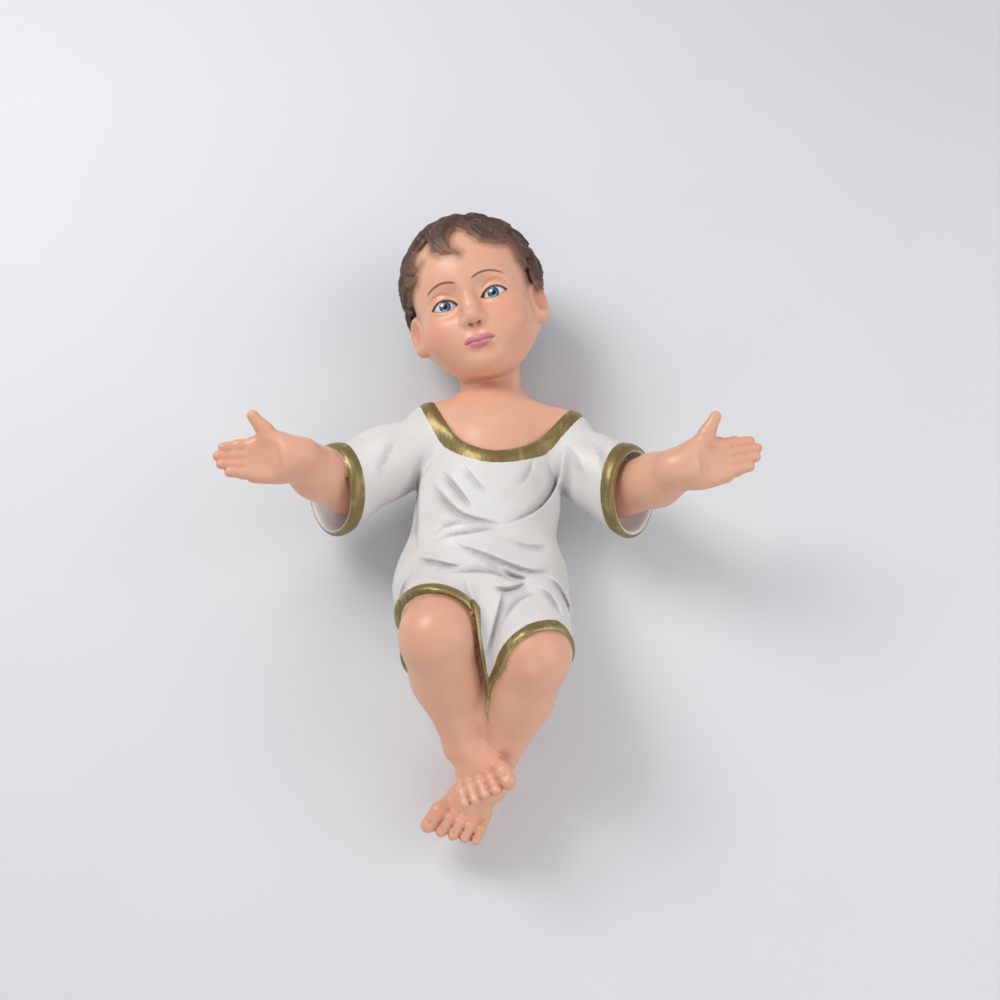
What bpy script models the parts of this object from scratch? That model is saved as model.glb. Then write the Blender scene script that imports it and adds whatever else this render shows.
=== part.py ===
"""A child figure lying on its back with open arms: one painted casting.

The form is a distance field in millimetres. Its surface is meshed on a grid,
thinned, cut flat on the resting side and scaled to metres.
x is the figure's left, y runs from the feet to the crown, z is up from the floor.
"""
import math

import bmesh
import bpy
import numpy as np

NAME = "baby_jesus_figurine"
MM = 0.001
GRID = 2.0
TRIANGLES = 9300
REACH_LOW = (-134.0, -176.0, -8.0)
REACH_HIGH = (136.0, 170.0, 104.0)
BLOCK = 12
FAR = 60.0
NEAR = 14.0

# head: place, tip forward, lean to the right shoulder, turn
HEAD_AT = np.array([-6.5, 108.5, 50.0])
HEAD_TIP, HEAD_LEAN, HEAD_TURN = 16.0, 15.0, -8.0
SKULL_AT, SKULL = np.array([0, 8.5, -7.0]), np.array([31.0, 33.5, 37.0])
HAIR_AT, HAIR = np.array([0, 9.0, -8.0]), np.array([32.5, 36.0, 39.5])
EYE_X, EYE_Y, EYE_Z, EYE_RADIUS, LID = 13.0, -5.0, 21.4, 7.4, 0.95
HAIRLINE_AT = -3.0

# arms and hands
ARM_RIGHT = ((-70, 8, 36), (-83, 6.5, 58), (-93, 5.8, 76))
ARM_LEFT = ((66, 7, 36), (83, 2.5, 58), (95.5, 1.0, 76))
ARM_RADII = (14.0, 12.4, 9.6)
HAND_RIGHT = dict(wrist=(-93.2, 5.6, 76), out=(-0.985, -0.13, 0.16), palm=(-0.10, -0.42, 0.9))
HAND_LEFT = dict(wrist=(95.6, 1.0, 76), out=(0.985, 0.16, 0.10), palm=(0.05, -0.42, 0.9))
FINGERS, FINGER_PITCH = (15.0, 17.0, 16.0, 13.0), 4.7

# legs and feet
LEG_RIGHT = dict(
    hip=(-20, -42, 36), knee=(-21.6, -84.6, 76), calf=(-17.8, -97, 59), ankle=(-9.4, -123.0, 43.5)
)
LEG_LEFT = dict(
    hip=(17, -42, 34), knee=(21.5, -91.0, 70), calf=(15.0, -104, 52), ankle=(-0.8, -137.5, 26)
)
FOOT_RIGHT = dict(
    ankle=(-9.6, -123.0, 43.5), out=(0.36, -0.82, 0.44), sole=(0.33, -0.36, -0.87),
    big=1, slant=-0.30, curl_down=0.6,
)
FOOT_LEFT = dict(
    ankle=(-0.8, -137.5, 26), out=(-0.60, -0.78, 0.16), sole=(-0.1, -0.22, -0.97),
    big=-1, slant=0.0, curl_down=2.6,
)
# toes from the big one: radius, reach
TOES = ((3.8, 29.8), (2.7, 28.6), (2.6, 26.4), (2.5, 24.2), (2.3, 21.8))

# tunic
TRUNK = ((3, 26, 29.5), (0, 0, 29.5), (-3, -26, 30.0), (-2.5, -46, 31))
TRUNK_RADII, TRUNK_FLAT = (34.0, 34.0, 33.5, 35.0), 0.94
SHOULDERS = (((2, 36, 34), (-27, 40, 35)), ((4, 35, 34), (39, 36, 35)))
CLOTH = 1.3
CUFF_RIGHT = dict(at=(-77, 4.0, 45), out=(-0.80, -0.335, 0.50))
CUFF_LEFT = dict(at=(72.5, 3.5, 45), out=(0.82, -0.29, 0.49))
SLEEVE_RIGHT = ((-27, 35.5, 36), (-52, 21.5, 38), (-77, 4.5, 42), (-96, -5, 47))
SLEEVE_LEFT = ((38, 30, 36), (55, 16.5, 38), (72.5, 4, 42), (90, -6, 47))
SLEEVE_RADII = (15.5, 17.2, 20.3, 22)
CUFF_DEEP, CUFF_WALL = 14.0, 3.0
GOLD_CUFF, GOLD_NECK, GOLD_HEM, GOLD_RISE = 7.0, 7.5, 5.5, 0.7
NECKLINE = ((-31, 64), (-22.5, 41), (-12.2, 24.2), (3, 17.0), (20, 22.4), (34, 36.5), (48, 58))
HEM_AT, HEM_OUT = (-22, -65, 85.0), (-0.235, -0.86, 0.46)
HEM_TILT = 65.0
WEB, WEB_RADII = ((-1, -52, 40), (0, -84, 49), (2, -108, 46), (3, -122, 40)), (19, 15, 11.5, 8)
WEB_TOP = ((-11, -69, 66), (-8.5, -80, 67.5), (-1, -102, 53))

# how much every fold is raised, then the folds: curve in x and y, breadth of the roll on its left,
# height there, depth of the crease, lowest z
FOLD = 1.3
FOLDS = (
    (((-22.2, 8.1), (-13.8, -4.3), (-5.9, -16.5)), 9, 1.2, 0.9, 40),
    (((-28, 4), (-17.5, -12.3), (-7.8, -20.2), (8.9, -23.9)), 10, 1.7, 0.9, 40),
    (((6, -24.5), (16.1, -18.9), (26.5, -9.3), (34.5, 6.8), (37.5, 28)), -11, 1.9, 0.9, 32),
    (((-24.4, -24.3), (-14.9, -22.7), (-7.8, -22.2)), -5, 0.9, 0.5, 40),
    (((-25, -29.5), (-7.7, -29.0), (7, -25.0)), -8, 1.3, 0.8, 40),
    (((-16, -34.5), (-2.9, -41.1), (11.2, -46.1), (22.8, -48.1), (32, -43)), 10, 1.8, 0.9, 40),
    (((-33.0, -40.0), (-19.2, -46.6), (-10, -48.6)), 9, 1.6, 0.8, 40),
    (((-18.9, -52.2), (1.9, -51.2), (15, -56)), -9, 1.4, 0.8, 50),
    (((7.5, -48.6), (13, -51.5), (19.5, -52.8)), 5, 1.6, 1.6, 45),
    (((3.2, -58.6), (11, -59.4), (19.5, -55)), 5, 1.4, 1.2, 45),
    (((-33.5, -36), (-34.5, 6), (-31, 27)), -9, 1.4, 0.8, 18),
    (((40.5, 30), (38.5, 8), (37, -8)), -8, 1.5, 0.8, 25),
    (((28, -50), (35, -55), (40, -66)), 7, 1.3, 0.8, 30),
    (((23, -58), (30, -63), (35, -74)), 7, 1.1, 0.7, 30),
    (((-36, -46), (-39, -58), (-40, -75)), -6, 1.0, 0.6, 20),
    (((-12, 9), (-4, -2), (2, -8)), 8, 0.7, 0.3, 45),
    (((14, -4), (20, 4), (24, 16)), -8, 0.7, 0.3, 45),
    (((10, -31), (20, -33), (31, -30)), 6, 0.7, 0.4, 45),
    (((-9, -56), (-5, -75), (-2, -97)), 5, 1.1, 0.7, 45),
    (((9, -58), (6, -72), (1, -94)), -6, 1.2, 0.8, 45),
    (((25, -62), (15, -67), (7, -79)), 6, 1.1, 0.7, 45),
    (((-44, 28), (-50, 14), (-54, 2)), 8, 1.0, 0.5, 40),
    (((52, 26), (56, 14), (57, 0)), -8, 1.1, 0.6, 40),
    (((34, 30), (44, 18), (50, 2)), 9, 1.0, 0.5, 40),
)

# curls in rings: height on the head, how many, length, half width
CURL_RINGS = (
    (80, 5, 26, 4.1),
    (62, 9, 27, 4.1),
    (43, 13, 27, 4.0),
    (24, 15, 26, 3.9),
    (5, 15, 25, 3.9),
    (-13, 12, 22, 3.8),
    (-28, 9, 18, 3.6),
)
# curls over the brow and temples: round from the face, height, heading, length, bend, half width
BROW_CURLS = (
    (30, 58, -85, 42, 165, 5.6),
    (14, 48, -90, 33, 175, 4.8),
    (-4, 70, -85, 34, 120, 5.2),
    (-34, 56, -60, 26, 120, 4.8),
    (42, 44, 35, 24, -150, 4.4),
    (25, 47, 62, 20, -125, 4.0),
    (52, 28, 10, 22, 180, 4.2),
    (-50, 36, -30, 22, 170, 4.2),
    (-60, 18, 0, 22, -180, 4.2),
    (70, 20, 70, 20, -180, 4.2),
    (-74, 16, -70, 20, 180, 4.2),
)


def sind(angle):
    return math.sin(math.radians(angle))


def cosd(angle):
    return math.cos(math.radians(angle))


def unit(v):
    v = np.asarray(v, float)
    return v / np.linalg.norm(v)


HAIRLINE = unit((0, 0.555, -0.832))


class Cloud:
    """Points and the ball round them."""

    def __init__(self, p):
        self.p = p
        low, high = p.min(0), p.max(0)
        self.centre = (low + high) / 2
        self.reach = np.linalg.norm(high - low) / 2

    def near(self, centre, radius, margin=NEAR):
        return np.linalg.norm(self.centre - centre) - self.reach < radius + margin

    def seen_from(self, at, axes):
        """The same points in a part's own frame."""
        return Cloud((self.p - at) @ np.asarray(axes).T)


# shapes: distances, negative inside; a plain FAR where the shape is out of reach
def join(a, b, k=0.0):
    if np.isscalar(a):
        return b
    if np.isscalar(b):
        return a
    if k <= 0:
        return np.minimum(a, b)
    h = np.maximum(k - np.abs(a - b), 0) / k
    return np.minimum(a, b) - h * h * k * 0.25


def within(a, b, k=0.0):
    if np.isscalar(a) or np.isscalar(b):
        return a if np.isscalar(a) else b
    if k <= 0:
        return np.maximum(a, b)
    h = np.maximum(k - np.abs(a - b), 0) / k
    return np.maximum(a, b) + h * h * k * 0.25


def cut(a, b, k=0.0):
    if np.isscalar(a) or np.isscalar(b):
        return a
    return within(a, -b, k)


def ball(c, centre, r, margin=NEAR):
    if not c.near(np.asarray(centre, float), r, margin):
        return FAR
    return np.linalg.norm(c.p - centre, axis=1) - r


def ellipsoid(c, centre, radii, margin=NEAR):
    centre, radii = np.asarray(centre, float), np.asarray(radii, float)
    if not c.near(centre, radii.max(), margin):
        return FAR
    q = c.p - centre
    k0 = np.linalg.norm(q / radii, axis=1)
    k1 = np.linalg.norm(q / radii ** 2, axis=1)
    return k0 * (k0 - 1) / np.maximum(k1, 1e-6)


def limb(c, points, radii, k=0.0, flat=1.0, margin=NEAR):
    """A tapered tube through points; flat below 1 thins it in z."""
    points = np.asarray(points, float)
    centre = points.mean(0)
    reach = np.linalg.norm(points - centre, axis=1).max() + max(radii)
    if not c.near(centre, reach, margin):
        return FAR
    squash = np.array([1, 1, 1 / flat])
    p, points = c.p * squash, points * squash
    d = FAR
    for a, b, ra, rb in zip(points[:-1], points[1:], radii[:-1], radii[1:]):
        ab = b - a
        t = np.clip(((p - a) @ ab) / max(ab @ ab, 1e-9), 0, 1)
        d = join(d, np.linalg.norm(p - a - t[:, None] * ab, axis=1) - (ra + (rb - ra) * t), k)
    return d * (0.5 + 0.5 * flat)


def plane(c, point, normal):
    """Negative on the side away from the normal."""
    return (c.p - np.asarray(point, float)) @ unit(normal)


def bump(x):
    x = np.clip(np.abs(x), 0, 1)
    return (1 - x * x) ** 2


def tilted(tip, lean, turn):
    """A part's own x, y and z axes once it is tipped, leant and turned."""
    tipped = np.array([[1, 0, 0], [0, cosd(tip), -sind(tip)], [0, sind(tip), cosd(tip)]])
    leant = np.array([[cosd(lean), -sind(lean), 0], [sind(lean), cosd(lean), 0], [0, 0, 1]])
    turned = np.array([[cosd(turn), 0, sind(turn)], [0, 1, 0], [-sind(turn), 0, cosd(turn)]])
    return (tipped @ leant @ turned).T


HEAD_AXES = tilted(HEAD_TIP, HEAD_LEAN, HEAD_TURN)


# head: x to its left, y to the crown, z out of the face
def face(h):
    d = ellipsoid(h, SKULL_AT, SKULL)
    d = join(d, ellipsoid(h, (0, 14, 8), (27.5, 23, 23.5)), 12)
    d = join(d, ellipsoid(h, (0, -14, 7), (25.5, 27, 24)), 14)
    for s in (-1, 1):
        d = join(d, ball(h, (s * 15.5, -17.5, 17.2), 12), 9)
        d = join(d, limb(h, [(s * 24, -14, -4), (s * 10, -32, 12)], [8.5, 8]), 9)
    d = join(d, ellipsoid(h, (0, -25, 20.5), (15, 10, 11)), 9)
    d = join(d, ellipsoid(h, (0, -35.5, 20.5), (9, 7, 8.5)), 8)
    if not h.near((0, -12, 30), 26, 6):
        return d
    for s in (-1, 1):
        d = cut(d, ellipsoid(h, (s * 12.0, EYE_Y + 1.5, 33.0), (10, 6.5, 5.5)), 6)
    d = join(d, limb(h, [(0, 2, 28.0), (0, -8, 31.6), (0, -14.5, 34.4)], [2.6, 2.3, 3.0], k=3), 5)
    d = join(d, ball(h, (0, -15.0, 34.6), 3.5), 3)
    for s in (-1, 1):
        d = join(d, ellipsoid(h, (s * 4.1, -16.7, 31.8), (2.8, 2.6, 3.2)), 2)
        d = join(d, ball(h, (s * EYE_X, EYE_Y, EYE_Z), EYE_RADIUS + LID), 2.6)
    lips = [(-8.6, -27.2, 28.8), (-4.0, -25.6, 31.1), (4.0, -25.6, 31.1), (8.6, -27.2, 28.8)]
    d = join(d, limb(h, lips, [0.8, 1.7, 1.7, 0.8], k=1.5), 2.2)
    lips = [(-7.4, -28.4, 29.0), (-3.2, -29.4, 31.2), (3.2, -29.4, 31.2), (7.4, -28.4, 29.0)]
    d = join(d, limb(h, lips, [0.9, 2.0, 2.0, 0.9], k=1.5), 1.8)
    return cut(d, ellipsoid(h, (0, -32.6, 32.6), (6, 1.8, 1.6)), 4)


def ear(h, s):
    at = np.array([s * 31.5, -9.0, 2.0])
    if not h.near(at, 18, 6):
        return FAR
    out = unit((s * 0.84, 0.0, 0.54))
    up = unit((-s * 0.08, 1, -0.10))
    e = h.seen_from(at, [out, up, unit(np.cross(out, up)) * s])
    d = ellipsoid(e, (0.6, 0.5, 0), (3.8, 11.0, 7.8))
    d = cut(d, ellipsoid(e, (4.0, 1.6, 0.6), (3.2, 7.2, 4.8)), 1.4)
    return join(d, ball(e, (1.4, -7.4, -0.8), 3.1), 2)


def on_head(around, height, lift):
    r = HAIR + lift
    return HAIR_AT + r * np.array([sind(around) * cosd(height), sind(height), cosd(around) * cosd(height)])


def curl(around, height, heading, length, bend, thick, lift=0.0, n=6):
    """A lock laid on the head; heading 0 runs down to the neck."""
    points, radii = [], []
    for k in range(n + 1):
        t = k / n
        points.append(on_head(around, height, lift + thick * 0.1))
        radii.append(thick * (0.72 + 0.5 * math.sin(math.pi * min(1, t * 1.15))) * (1 - 0.62 * t ** 3))
        h = heading + bend * t
        height -= math.degrees(length / n * cosd(h) / 37)
        around += math.degrees(length / n * sind(h) / (37 * max(cosd(height), 0.35)))
    return np.array(points), radii


def curls():
    out = []
    for row, (height, count, length, thick) in enumerate(CURL_RINGS):
        for k in range(count):
            around = 360.0 * (k + 0.5 * (row % 2)) / count + 7
            sway = math.sin(12.9898 * (k + 1) + 78.233 * row)
            side = 1 if (k + row) % 2 else -1
            start = on_head(around, height + 4 * sway, 0)
            over_ear = abs(start[0]) > 20 and -22 < start[1] < 3 and start[2] > -5
            if start @ HAIRLINE < HAIRLINE_AT + 5.5 or over_ear:
                continue
            heading = 14 * sway - side * 55
            bend = side * (215 + 50 * sway)
            lift = 2.0 * (k % 2) + 0.3
            size = length * (1 + 0.12 * sway)
            out.append(curl(around, height + 4 * sway, heading, size, bend, thick, lift))
    for sizes in BROW_CURLS:
        out.append(curl(*sizes, lift=1.0))
    return out


CURLS = curls()


def hair(h):
    if not h.near(HAIR_AT, 48):
        return FAR
    front = HAIRLINE_AT - 0.24 * np.maximum(np.abs(h.p[:, 0]) - 12, 0) - h.p @ HAIRLINE
    d = within(ellipsoid(h, HAIR_AT, HAIR - 1.2), front, 4)
    for points, radii in CURLS:
        d = join(d, limb(h, points, radii, k=0.5, margin=4), 0.6)
    return d


def head(c):
    if not c.near(HEAD_AT, 62):
        return FAR
    h = c.seen_from(HEAD_AT, HEAD_AXES)
    d = face(h)
    for s in (-1, 1):
        d = join(d, ear(h, s), 1.6)
    return join(d, hair(h), 0.8)


def trunk(c):
    d = limb(c, TRUNK, TRUNK_RADII, k=10, flat=TRUNK_FLAT)
    for ends in SHOULDERS:
        d = join(d, limb(c, ends, [17, 16]), 10)
    return d


def neck(c):
    low = np.array([3.5, 32.0, 33.0])
    top = HEAD_AT + HEAD_AXES.T @ np.array([0, -20, -13.0])
    d = limb(c, [top, (top + low) / 2 + [0.0, 0, 1], low], [16.0, 15.6, 19])
    for s, tip in ((-1, (-27, 42, 35)), (1, (39, 38, 35))):
        d = join(d, limb(c, [(s * 7 + 2, 50, 35), tip], [12.5, 12]), 10)
    chest = trunk(c)
    if not np.isscalar(chest):
        d = join(d, chest + CLOTH, 8)
    return d


# hand: x along the fingers, y to the thumb, z out of the palm
def hand(c, wrist, out, palm):
    wrist = np.array(wrist, float)
    if not c.near(wrist + 18 * unit(out), 32):
        return FAR
    f = unit(out)
    s = unit(np.cross(palm, f))
    s = s if s[1] > 0 else -s
    n = unit(np.cross(f, s))
    n = n if n[2] > 0 else -n
    h = c.seen_from(wrist, [f, s, n])
    d = limb(h, [(-6, 0, -1), (4, 0, -1)], [9.3, 8.6])
    d = join(d, limb(h, [(7, -5.5, -1), (17, -6.6, -1)], [6.2, 4.9]), 6)
    d = join(d, limb(h, [(7, 4.5, -1), (17, 6.2, -1)], [6.5, 4.7]), 6)
    d = join(d, limb(h, [(8, 0, -2), (17, 0, -1.5)], [6.0, 4.6]), 6)
    d = join(d, limb(h, [(5, 6.5, 1), (11, 8.5, 1.2)], [5.4, 4.4]), 4)
    d = join(d, limb(h, [(4, -6, 0.5), (11, -6.5, 0.8)], [5.2, 4.2]), 4)
    d = cut(d, ellipsoid(h, (12.5, -0.5, 7.4), (9, 7, 3.0)), 6)
    for k, length in enumerate(FINGERS):
        base = np.array([17.0 - 0.7 * abs(k - 1.2), 7.3 - FINGER_PITCH * k, -0.6])
        tip = base + np.array([length, -0.8 * (1.5 - k), 0.8 + 0.3 * k])
        middle = (base + tip) / 2 + np.array([0, 0, -0.8])
        d = join(d, limb(h, [base, middle, tip], [3.0, 2.85, 2.5], k=2), 1.0)
    return join(d, limb(h, [(7, 8, 0.8), (12.0, 14, 2.2), (17.0, 20.5, 3.2)], [4.6, 3.6, 2.8], k=2.5), 2.2)


def leg(c, hip, knee, calf, ankle):
    d = limb(c, [hip, knee], [20.5, 16.0])
    return join(d, limb(c, [knee, calf, ankle], [15.6, 15.0, 9.6], k=8), 7)


# foot: x to the toes, y to the big toe, z out of the instep
def foot(c, ankle, out, sole, big, slant, curl_down):
    ankle = np.array(ankle, float)
    if not c.near(ankle, 44):
        return FAR
    f = unit(out)
    down = unit(np.array(sole) - f * (np.array(sole) @ f))
    s = np.cross(f, down)
    s = s if s[0] * big > 0 else -s
    h = c.seen_from(ankle, [f, s, -down])
    d = limb(h, [(-8, 0, -8.5), (0, 0, -4)], [8.4, 9.4])
    d = join(d, limb(h, [(-2, 0, -4), (10, 1.5, -7.5), (17, 2, -11.0)], [9.6, 7.8, 5.4], k=4), 6)
    d = join(d, limb(h, [(12, 6.0, -9.5), (20, 7.0, -11.5)], [6.0, 4.8]), 5)
    d = join(d, limb(h, [(10, -5, -10), (17, -6.5, -11.5)], [5.4, 4.0]), 5)
    y = 9.0
    for k, (r, reach) in enumerate(TOES):
        reach += slant * y
        base = np.array([12.0 - 0.9 * k, y * 0.85, -6.8 - 0.6 * k])
        knuckle = np.array([(base[0] + reach) / 2 + 2, y, -5.4 - 0.6 * k])
        tip = np.array([reach, y - 0.25 * k, -6.4 - curl_down - 0.3 * k])
        d = join(d, limb(h, [base, knuckle, tip], [r * 0.8, r * 0.95, r], k=1.5), 0.9)
        y -= r + (TOES[k + 1][0] if k < 4 else 0) - 0.3
    return d


def web(c):
    """Plaster left between the legs, under the tunic's tongue."""
    return join(limb(c, WEB, WEB_RADII, k=8), limb(c, WEB_TOP, [9, 8.5, 5], k=6), 4)


def sleeve(c, spine, at, out):
    d = limb(c, spine, SLEEVE_RADII, k=8)
    if np.isscalar(d):
        return d
    rim = plane(c, at, out)
    band = GOLD_RISE * bump((rim + GOLD_CUFF / 2) / (GOLD_CUFF / 2 + 1.2))
    d = within(d - band, rim, 2.4)
    hollow = limb(c, spine, [r - CUFF_WALL for r in SLEEVE_RADII], k=8)
    return cut(d, within(hollow, -CUFF_DEEP - rim, 6), 1.6)


def hem(c):
    """Negative where the skirt may be: up to a tilted plane and down a tongue between the knees."""
    x, y = c.p[:, 0], c.p[:, 1]
    height = y * sind(HEM_TILT) + (c.p[:, 2] - 40) * cosd(HEM_TILT)
    q = Cloud(np.stack([x, height, 0 * x], 1))
    right = limb(q, [(-22.1, -57.5, 0), (-15.5, -89.5, 0), (-9.5, -116, 0)], [17.5, 16, 10], margin=1e9)
    left = limb(q, [(28, -77, 0), (24.5, -95, 0), (10, -125, 0)], [19.5, 23.5, 16], margin=1e9)
    narrow = 1 + 1.5 * np.clip((-46 - height) / 14, 0, 1)
    tongue = np.maximum.reduce([-right * narrow, -left * 1.25, -18 - 0.2 * (y + 90) - x, x - 60])
    return join(plane(c, HEM_AT, HEM_OUT), tongue, 3)


def skirt(c):
    d = limb(c, [LEG_RIGHT["hip"], LEG_RIGHT["knee"]], [22.5, 19.2])
    d = join(d, limb(c, [LEG_LEFT["hip"], LEG_LEFT["knee"]], [22.5, 18.4]), 7)
    d = join(d, limb(c, [(-24, -48, 34), (-27, -84, 40)], [21, 13]), 8)
    return join(d, limb(c, [(-2, -48, 50), (0, -86, 61), (1, -122, 51)], [20, 12.5, 5.5], k=6), 9)


def rounded(points, n=4):
    """A rounded curve through the points."""
    p = np.asarray(points, float)
    e = np.concatenate([[2 * p[0] - p[1]], p, [2 * p[-1] - p[-2]]])
    out = []
    for a, b, c, d in zip(e[:-3], e[1:-2], e[2:-1], e[3:]):
        for t in (k / n for k in range(n)):
            bend = (2 * a - 5 * b + 4 * c - d) * t ** 2 + (3 * b - a - 3 * c + d) * t ** 3
            out.append(b + 0.5 * ((c - a) * t + bend))
    out.append(p[-1])
    return np.array(out)


def beside(q, points):
    """Signed distance from a plane curve, positive on its left, and the share of it passed."""
    lengths = np.linalg.norm(np.diff(points, axis=0), axis=1)
    start = np.concatenate([[0], np.cumsum(lengths)])
    best, sign, along = np.full(len(q), 1e9), np.ones(len(q)), np.zeros(len(q))
    for k, (a, b) in enumerate(zip(points[:-1], points[1:])):
        ab, off = b - a, q - a
        t = np.clip((off @ ab) / (ab @ ab), 0, 1)
        e = np.linalg.norm(off - t[:, None] * ab, axis=1)
        closer = e < best
        best[closer] = e[closer]
        sign[closer] = np.sign(ab[0] * off[:, 1] - ab[1] * off[:, 0])[closer]
        along[closer] = (start[k] + t * lengths[k])[closer]
    return best * sign, along / start[-1]


NECK_CURVE = rounded(NECKLINE)


def neckline(c):
    """Positive inside the neck opening."""
    if c.centre[1] + c.reach < 0:
        return np.full(len(c.p), -FAR)
    return beside(c.p[:, :2], NECK_CURVE)[0]


FOLD_CURVES = [(rounded(fold[0]),) + fold[1:] for fold in FOLDS]


def folds(c):
    """How far the cloth stands out over the plain form."""
    total = np.zeros(len(c.p))
    for points, width, height, depth, low in FOLD_CURVES:
        centre = points.mean(0)
        reach = np.linalg.norm(points - centre, axis=1).max() + abs(width)
        if np.linalg.norm(c.centre[:2] - centre) - c.reach > reach:
            continue
        d, t = beside(c.p[:, :2], points)
        d = d * np.sign(width)
        ends = np.clip(3.5 * t, 0, 1) * np.clip(3.5 * (1 - t), 0, 1)
        ends = ends * (2 - ends) * np.clip((c.p[:, 2] - low) / 8, 0, 1)
        roll = height * np.clip(1 - d / abs(width), 0, 1) ** 2 * np.clip(d / 1.1 + 0.5, 0, 1)
        total += FOLD * (roll - depth * bump(d / 1.6)) * ends
    return total


def tunic(c):
    d = join(trunk(c), skirt(c), 12)
    if not np.isscalar(d):
        inside = hem(c)
        band = GOLD_RISE * bump((inside + GOLD_HEM / 2) / (GOLD_HEM / 2 + 1.0))
        d = within(d - folds(c) - band, inside, 1.6)
    for spine, cuff in ((SLEEVE_RIGHT, CUFF_RIGHT), (SLEEVE_LEFT, CUFF_LEFT)):
        d = join(d, sleeve(c, spine, **cuff), 4)
    if not np.isscalar(d):
        opening = neckline(c)
        band = GOLD_RISE * bump((opening + GOLD_NECK / 2) / (GOLD_NECK / 2 + 1.0))
        d = cut(d - band * np.clip((c.p[:, 2] - 3) / 6, 0, 1), -opening, 1.4)
    return d


def figure(c):
    d = join(head(c), neck(c), 5)
    for points, palm in ((ARM_RIGHT, HAND_RIGHT), (ARM_LEFT, HAND_LEFT)):
        d = join(d, join(limb(c, points, ARM_RADII, k=6), hand(c, **palm), 4), 2)
    for bones, sole in ((LEG_RIGHT, FOOT_RIGHT), (LEG_LEFT, FOOT_LEFT)):
        d = join(d, join(leg(c, **bones), foot(c, **sole), 4), 0.8)
    d = join(d, web(c), 4)
    d = join(d, tunic(c), 0.7)
    return np.full(len(c.p), FAR) if np.isscalar(d) else d


# mesh
def sampled(field, low, high, step):
    """The field on a grid, worked out in full only near the surface."""
    low = np.asarray(low, float)
    shape = np.ceil((np.asarray(high) - low) / step / BLOCK).astype(int)
    grid = np.full(shape * BLOCK + 1, FAR, np.float32)
    size = BLOCK * step
    middles = np.meshgrid(*[low[k] + (np.arange(shape[k]) + 0.5) * size for k in range(3)], indexing="ij")
    coarse = field(Cloud(np.stack(middles, -1).reshape(-1, 3))).reshape(shape)
    reach = size * 0.87 + 5
    offsets = np.stack(np.meshgrid(*[np.arange(BLOCK + 1)] * 3, indexing="ij"), -1).reshape(-1, 3) * step
    for block in np.argwhere(coarse <= reach):
        i, j, k = block * BLOCK
        value = -FAR
        if coarse[tuple(block)] > -reach:
            value = field(Cloud(offsets + low + block * size)).reshape((BLOCK + 1,) * 3)
        grid[i:i + BLOCK + 1, j:j + BLOCK + 1, k:k + BLOCK + 1] = value
    return grid


def unambiguous(grid, tiny=0.02):
    """Fill the odd grid corner where two sheets of surface would touch."""
    for _ in range(20):
        changed = 0
        for axis in range(3):
            u, v = [x for x in range(3) if x != axis]
            cuts = []
            for du, dv in ((0, 0), (1, 1), (1, 0), (0, 1)):
                piece = [slice(None)] * 3
                piece[u] = slice(du, grid.shape[u] - 1 + du)
                piece[v] = slice(dv, grid.shape[v] - 1 + dv)
                cuts.append(grid[tuple(piece)])
            a, b, c, d = [part < 0 for part in cuts]
            for one, two in ((a & b & ~c & ~d, (2, 3)), (c & d & ~a & ~b, (0, 1))):
                where = np.nonzero(one)
                changed += len(where[0])
                p, q = cuts[two[0]], cuts[two[1]]
                lower = p[where] <= q[where]
                p[tuple(w[lower] for w in where)] = -tiny
                q[tuple(w[~lower] for w in where)] = -tiny
        inside = grid < 0
        total = inside[:-1].astype(int) + inside[1:]
        total = total[:, :-1] + total[:, 1:]
        total = total[:, :, :-1] + total[:, :, 1:]
        for i, j, k in np.argwhere((total == 2) | (total == 6)):
            cell = grid[i:i + 2, j:j + 2, k:k + 2]
            odd = np.argwhere((cell < 0) == (total[i, j, k] == 2))
            if len(odd) == 2 and np.abs(odd[0] - odd[1]).sum() == 3:
                cell[cell >= 0] = -tiny
                changed += 1
        if not changed:
            break
    return grid


def surface(grid, low, step):
    """One point in each cell the surface crosses, one face across each crossed edge."""
    inside = grid < 0
    counts = np.zeros(np.array(grid.shape) - 1, np.int8)
    corners = [(a, b, c) for a in (0, 1) for b in (0, 1) for c in (0, 1)]
    for a, b, c in corners:
        counts += inside[a:a + counts.shape[0], b:b + counts.shape[1], c:c + counts.shape[2]]
    active = (counts > 0) & (counts < 8)
    cells = np.argwhere(active)
    index = np.full(active.shape, -1, np.int32)
    index[active] = np.arange(len(cells))
    total, hits = np.zeros((len(cells), 3)), np.zeros(len(cells))
    for axis in range(3):
        for corner in corners:
            if corner[axis]:
                continue
            o = np.array(corner)
            e = o + np.eye(3, dtype=int)[axis]
            v0 = grid[tuple((cells + o).T)].astype(float)
            v1 = grid[tuple((cells + e).T)].astype(float)
            cross = (v0 < 0) != (v1 < 0)
            at = np.repeat(o[None].astype(float), len(cells), 0)
            at[:, axis] = np.where(cross, v0 / np.where(cross, v0 - v1, 1), 0)
            total += np.where(cross[:, None], at, 0)
            hits += cross
    points = np.asarray(low) + (cells + total / hits[:, None]) * step
    faces = []
    for axis in range(3):
        u, v = [x for x in range(3) if x != axis]
        near = [slice(1, -1)] * 3
        near[axis] = slice(0, -1)
        far = list(near)
        far[axis] = slice(1, None)
        first, second = inside[tuple(near)], inside[tuple(far)]
        for leaving in (True, False):
            at = np.argwhere((first == leaving) & (second != leaving))
            at[:, [u, v]] += 1
            ring = []
            for du, dv in ((-1, -1), (0, -1), (0, 0), (-1, 0)):
                c = at.copy()
                c[:, u] += du
                c[:, v] += dv
                ring.append(index[tuple(c.T)])
            ring = np.stack(ring, 1)
            faces.append(ring if leaving ^ (axis == 1) else ring[:, ::-1])
    return points, np.concatenate(faces)


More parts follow.
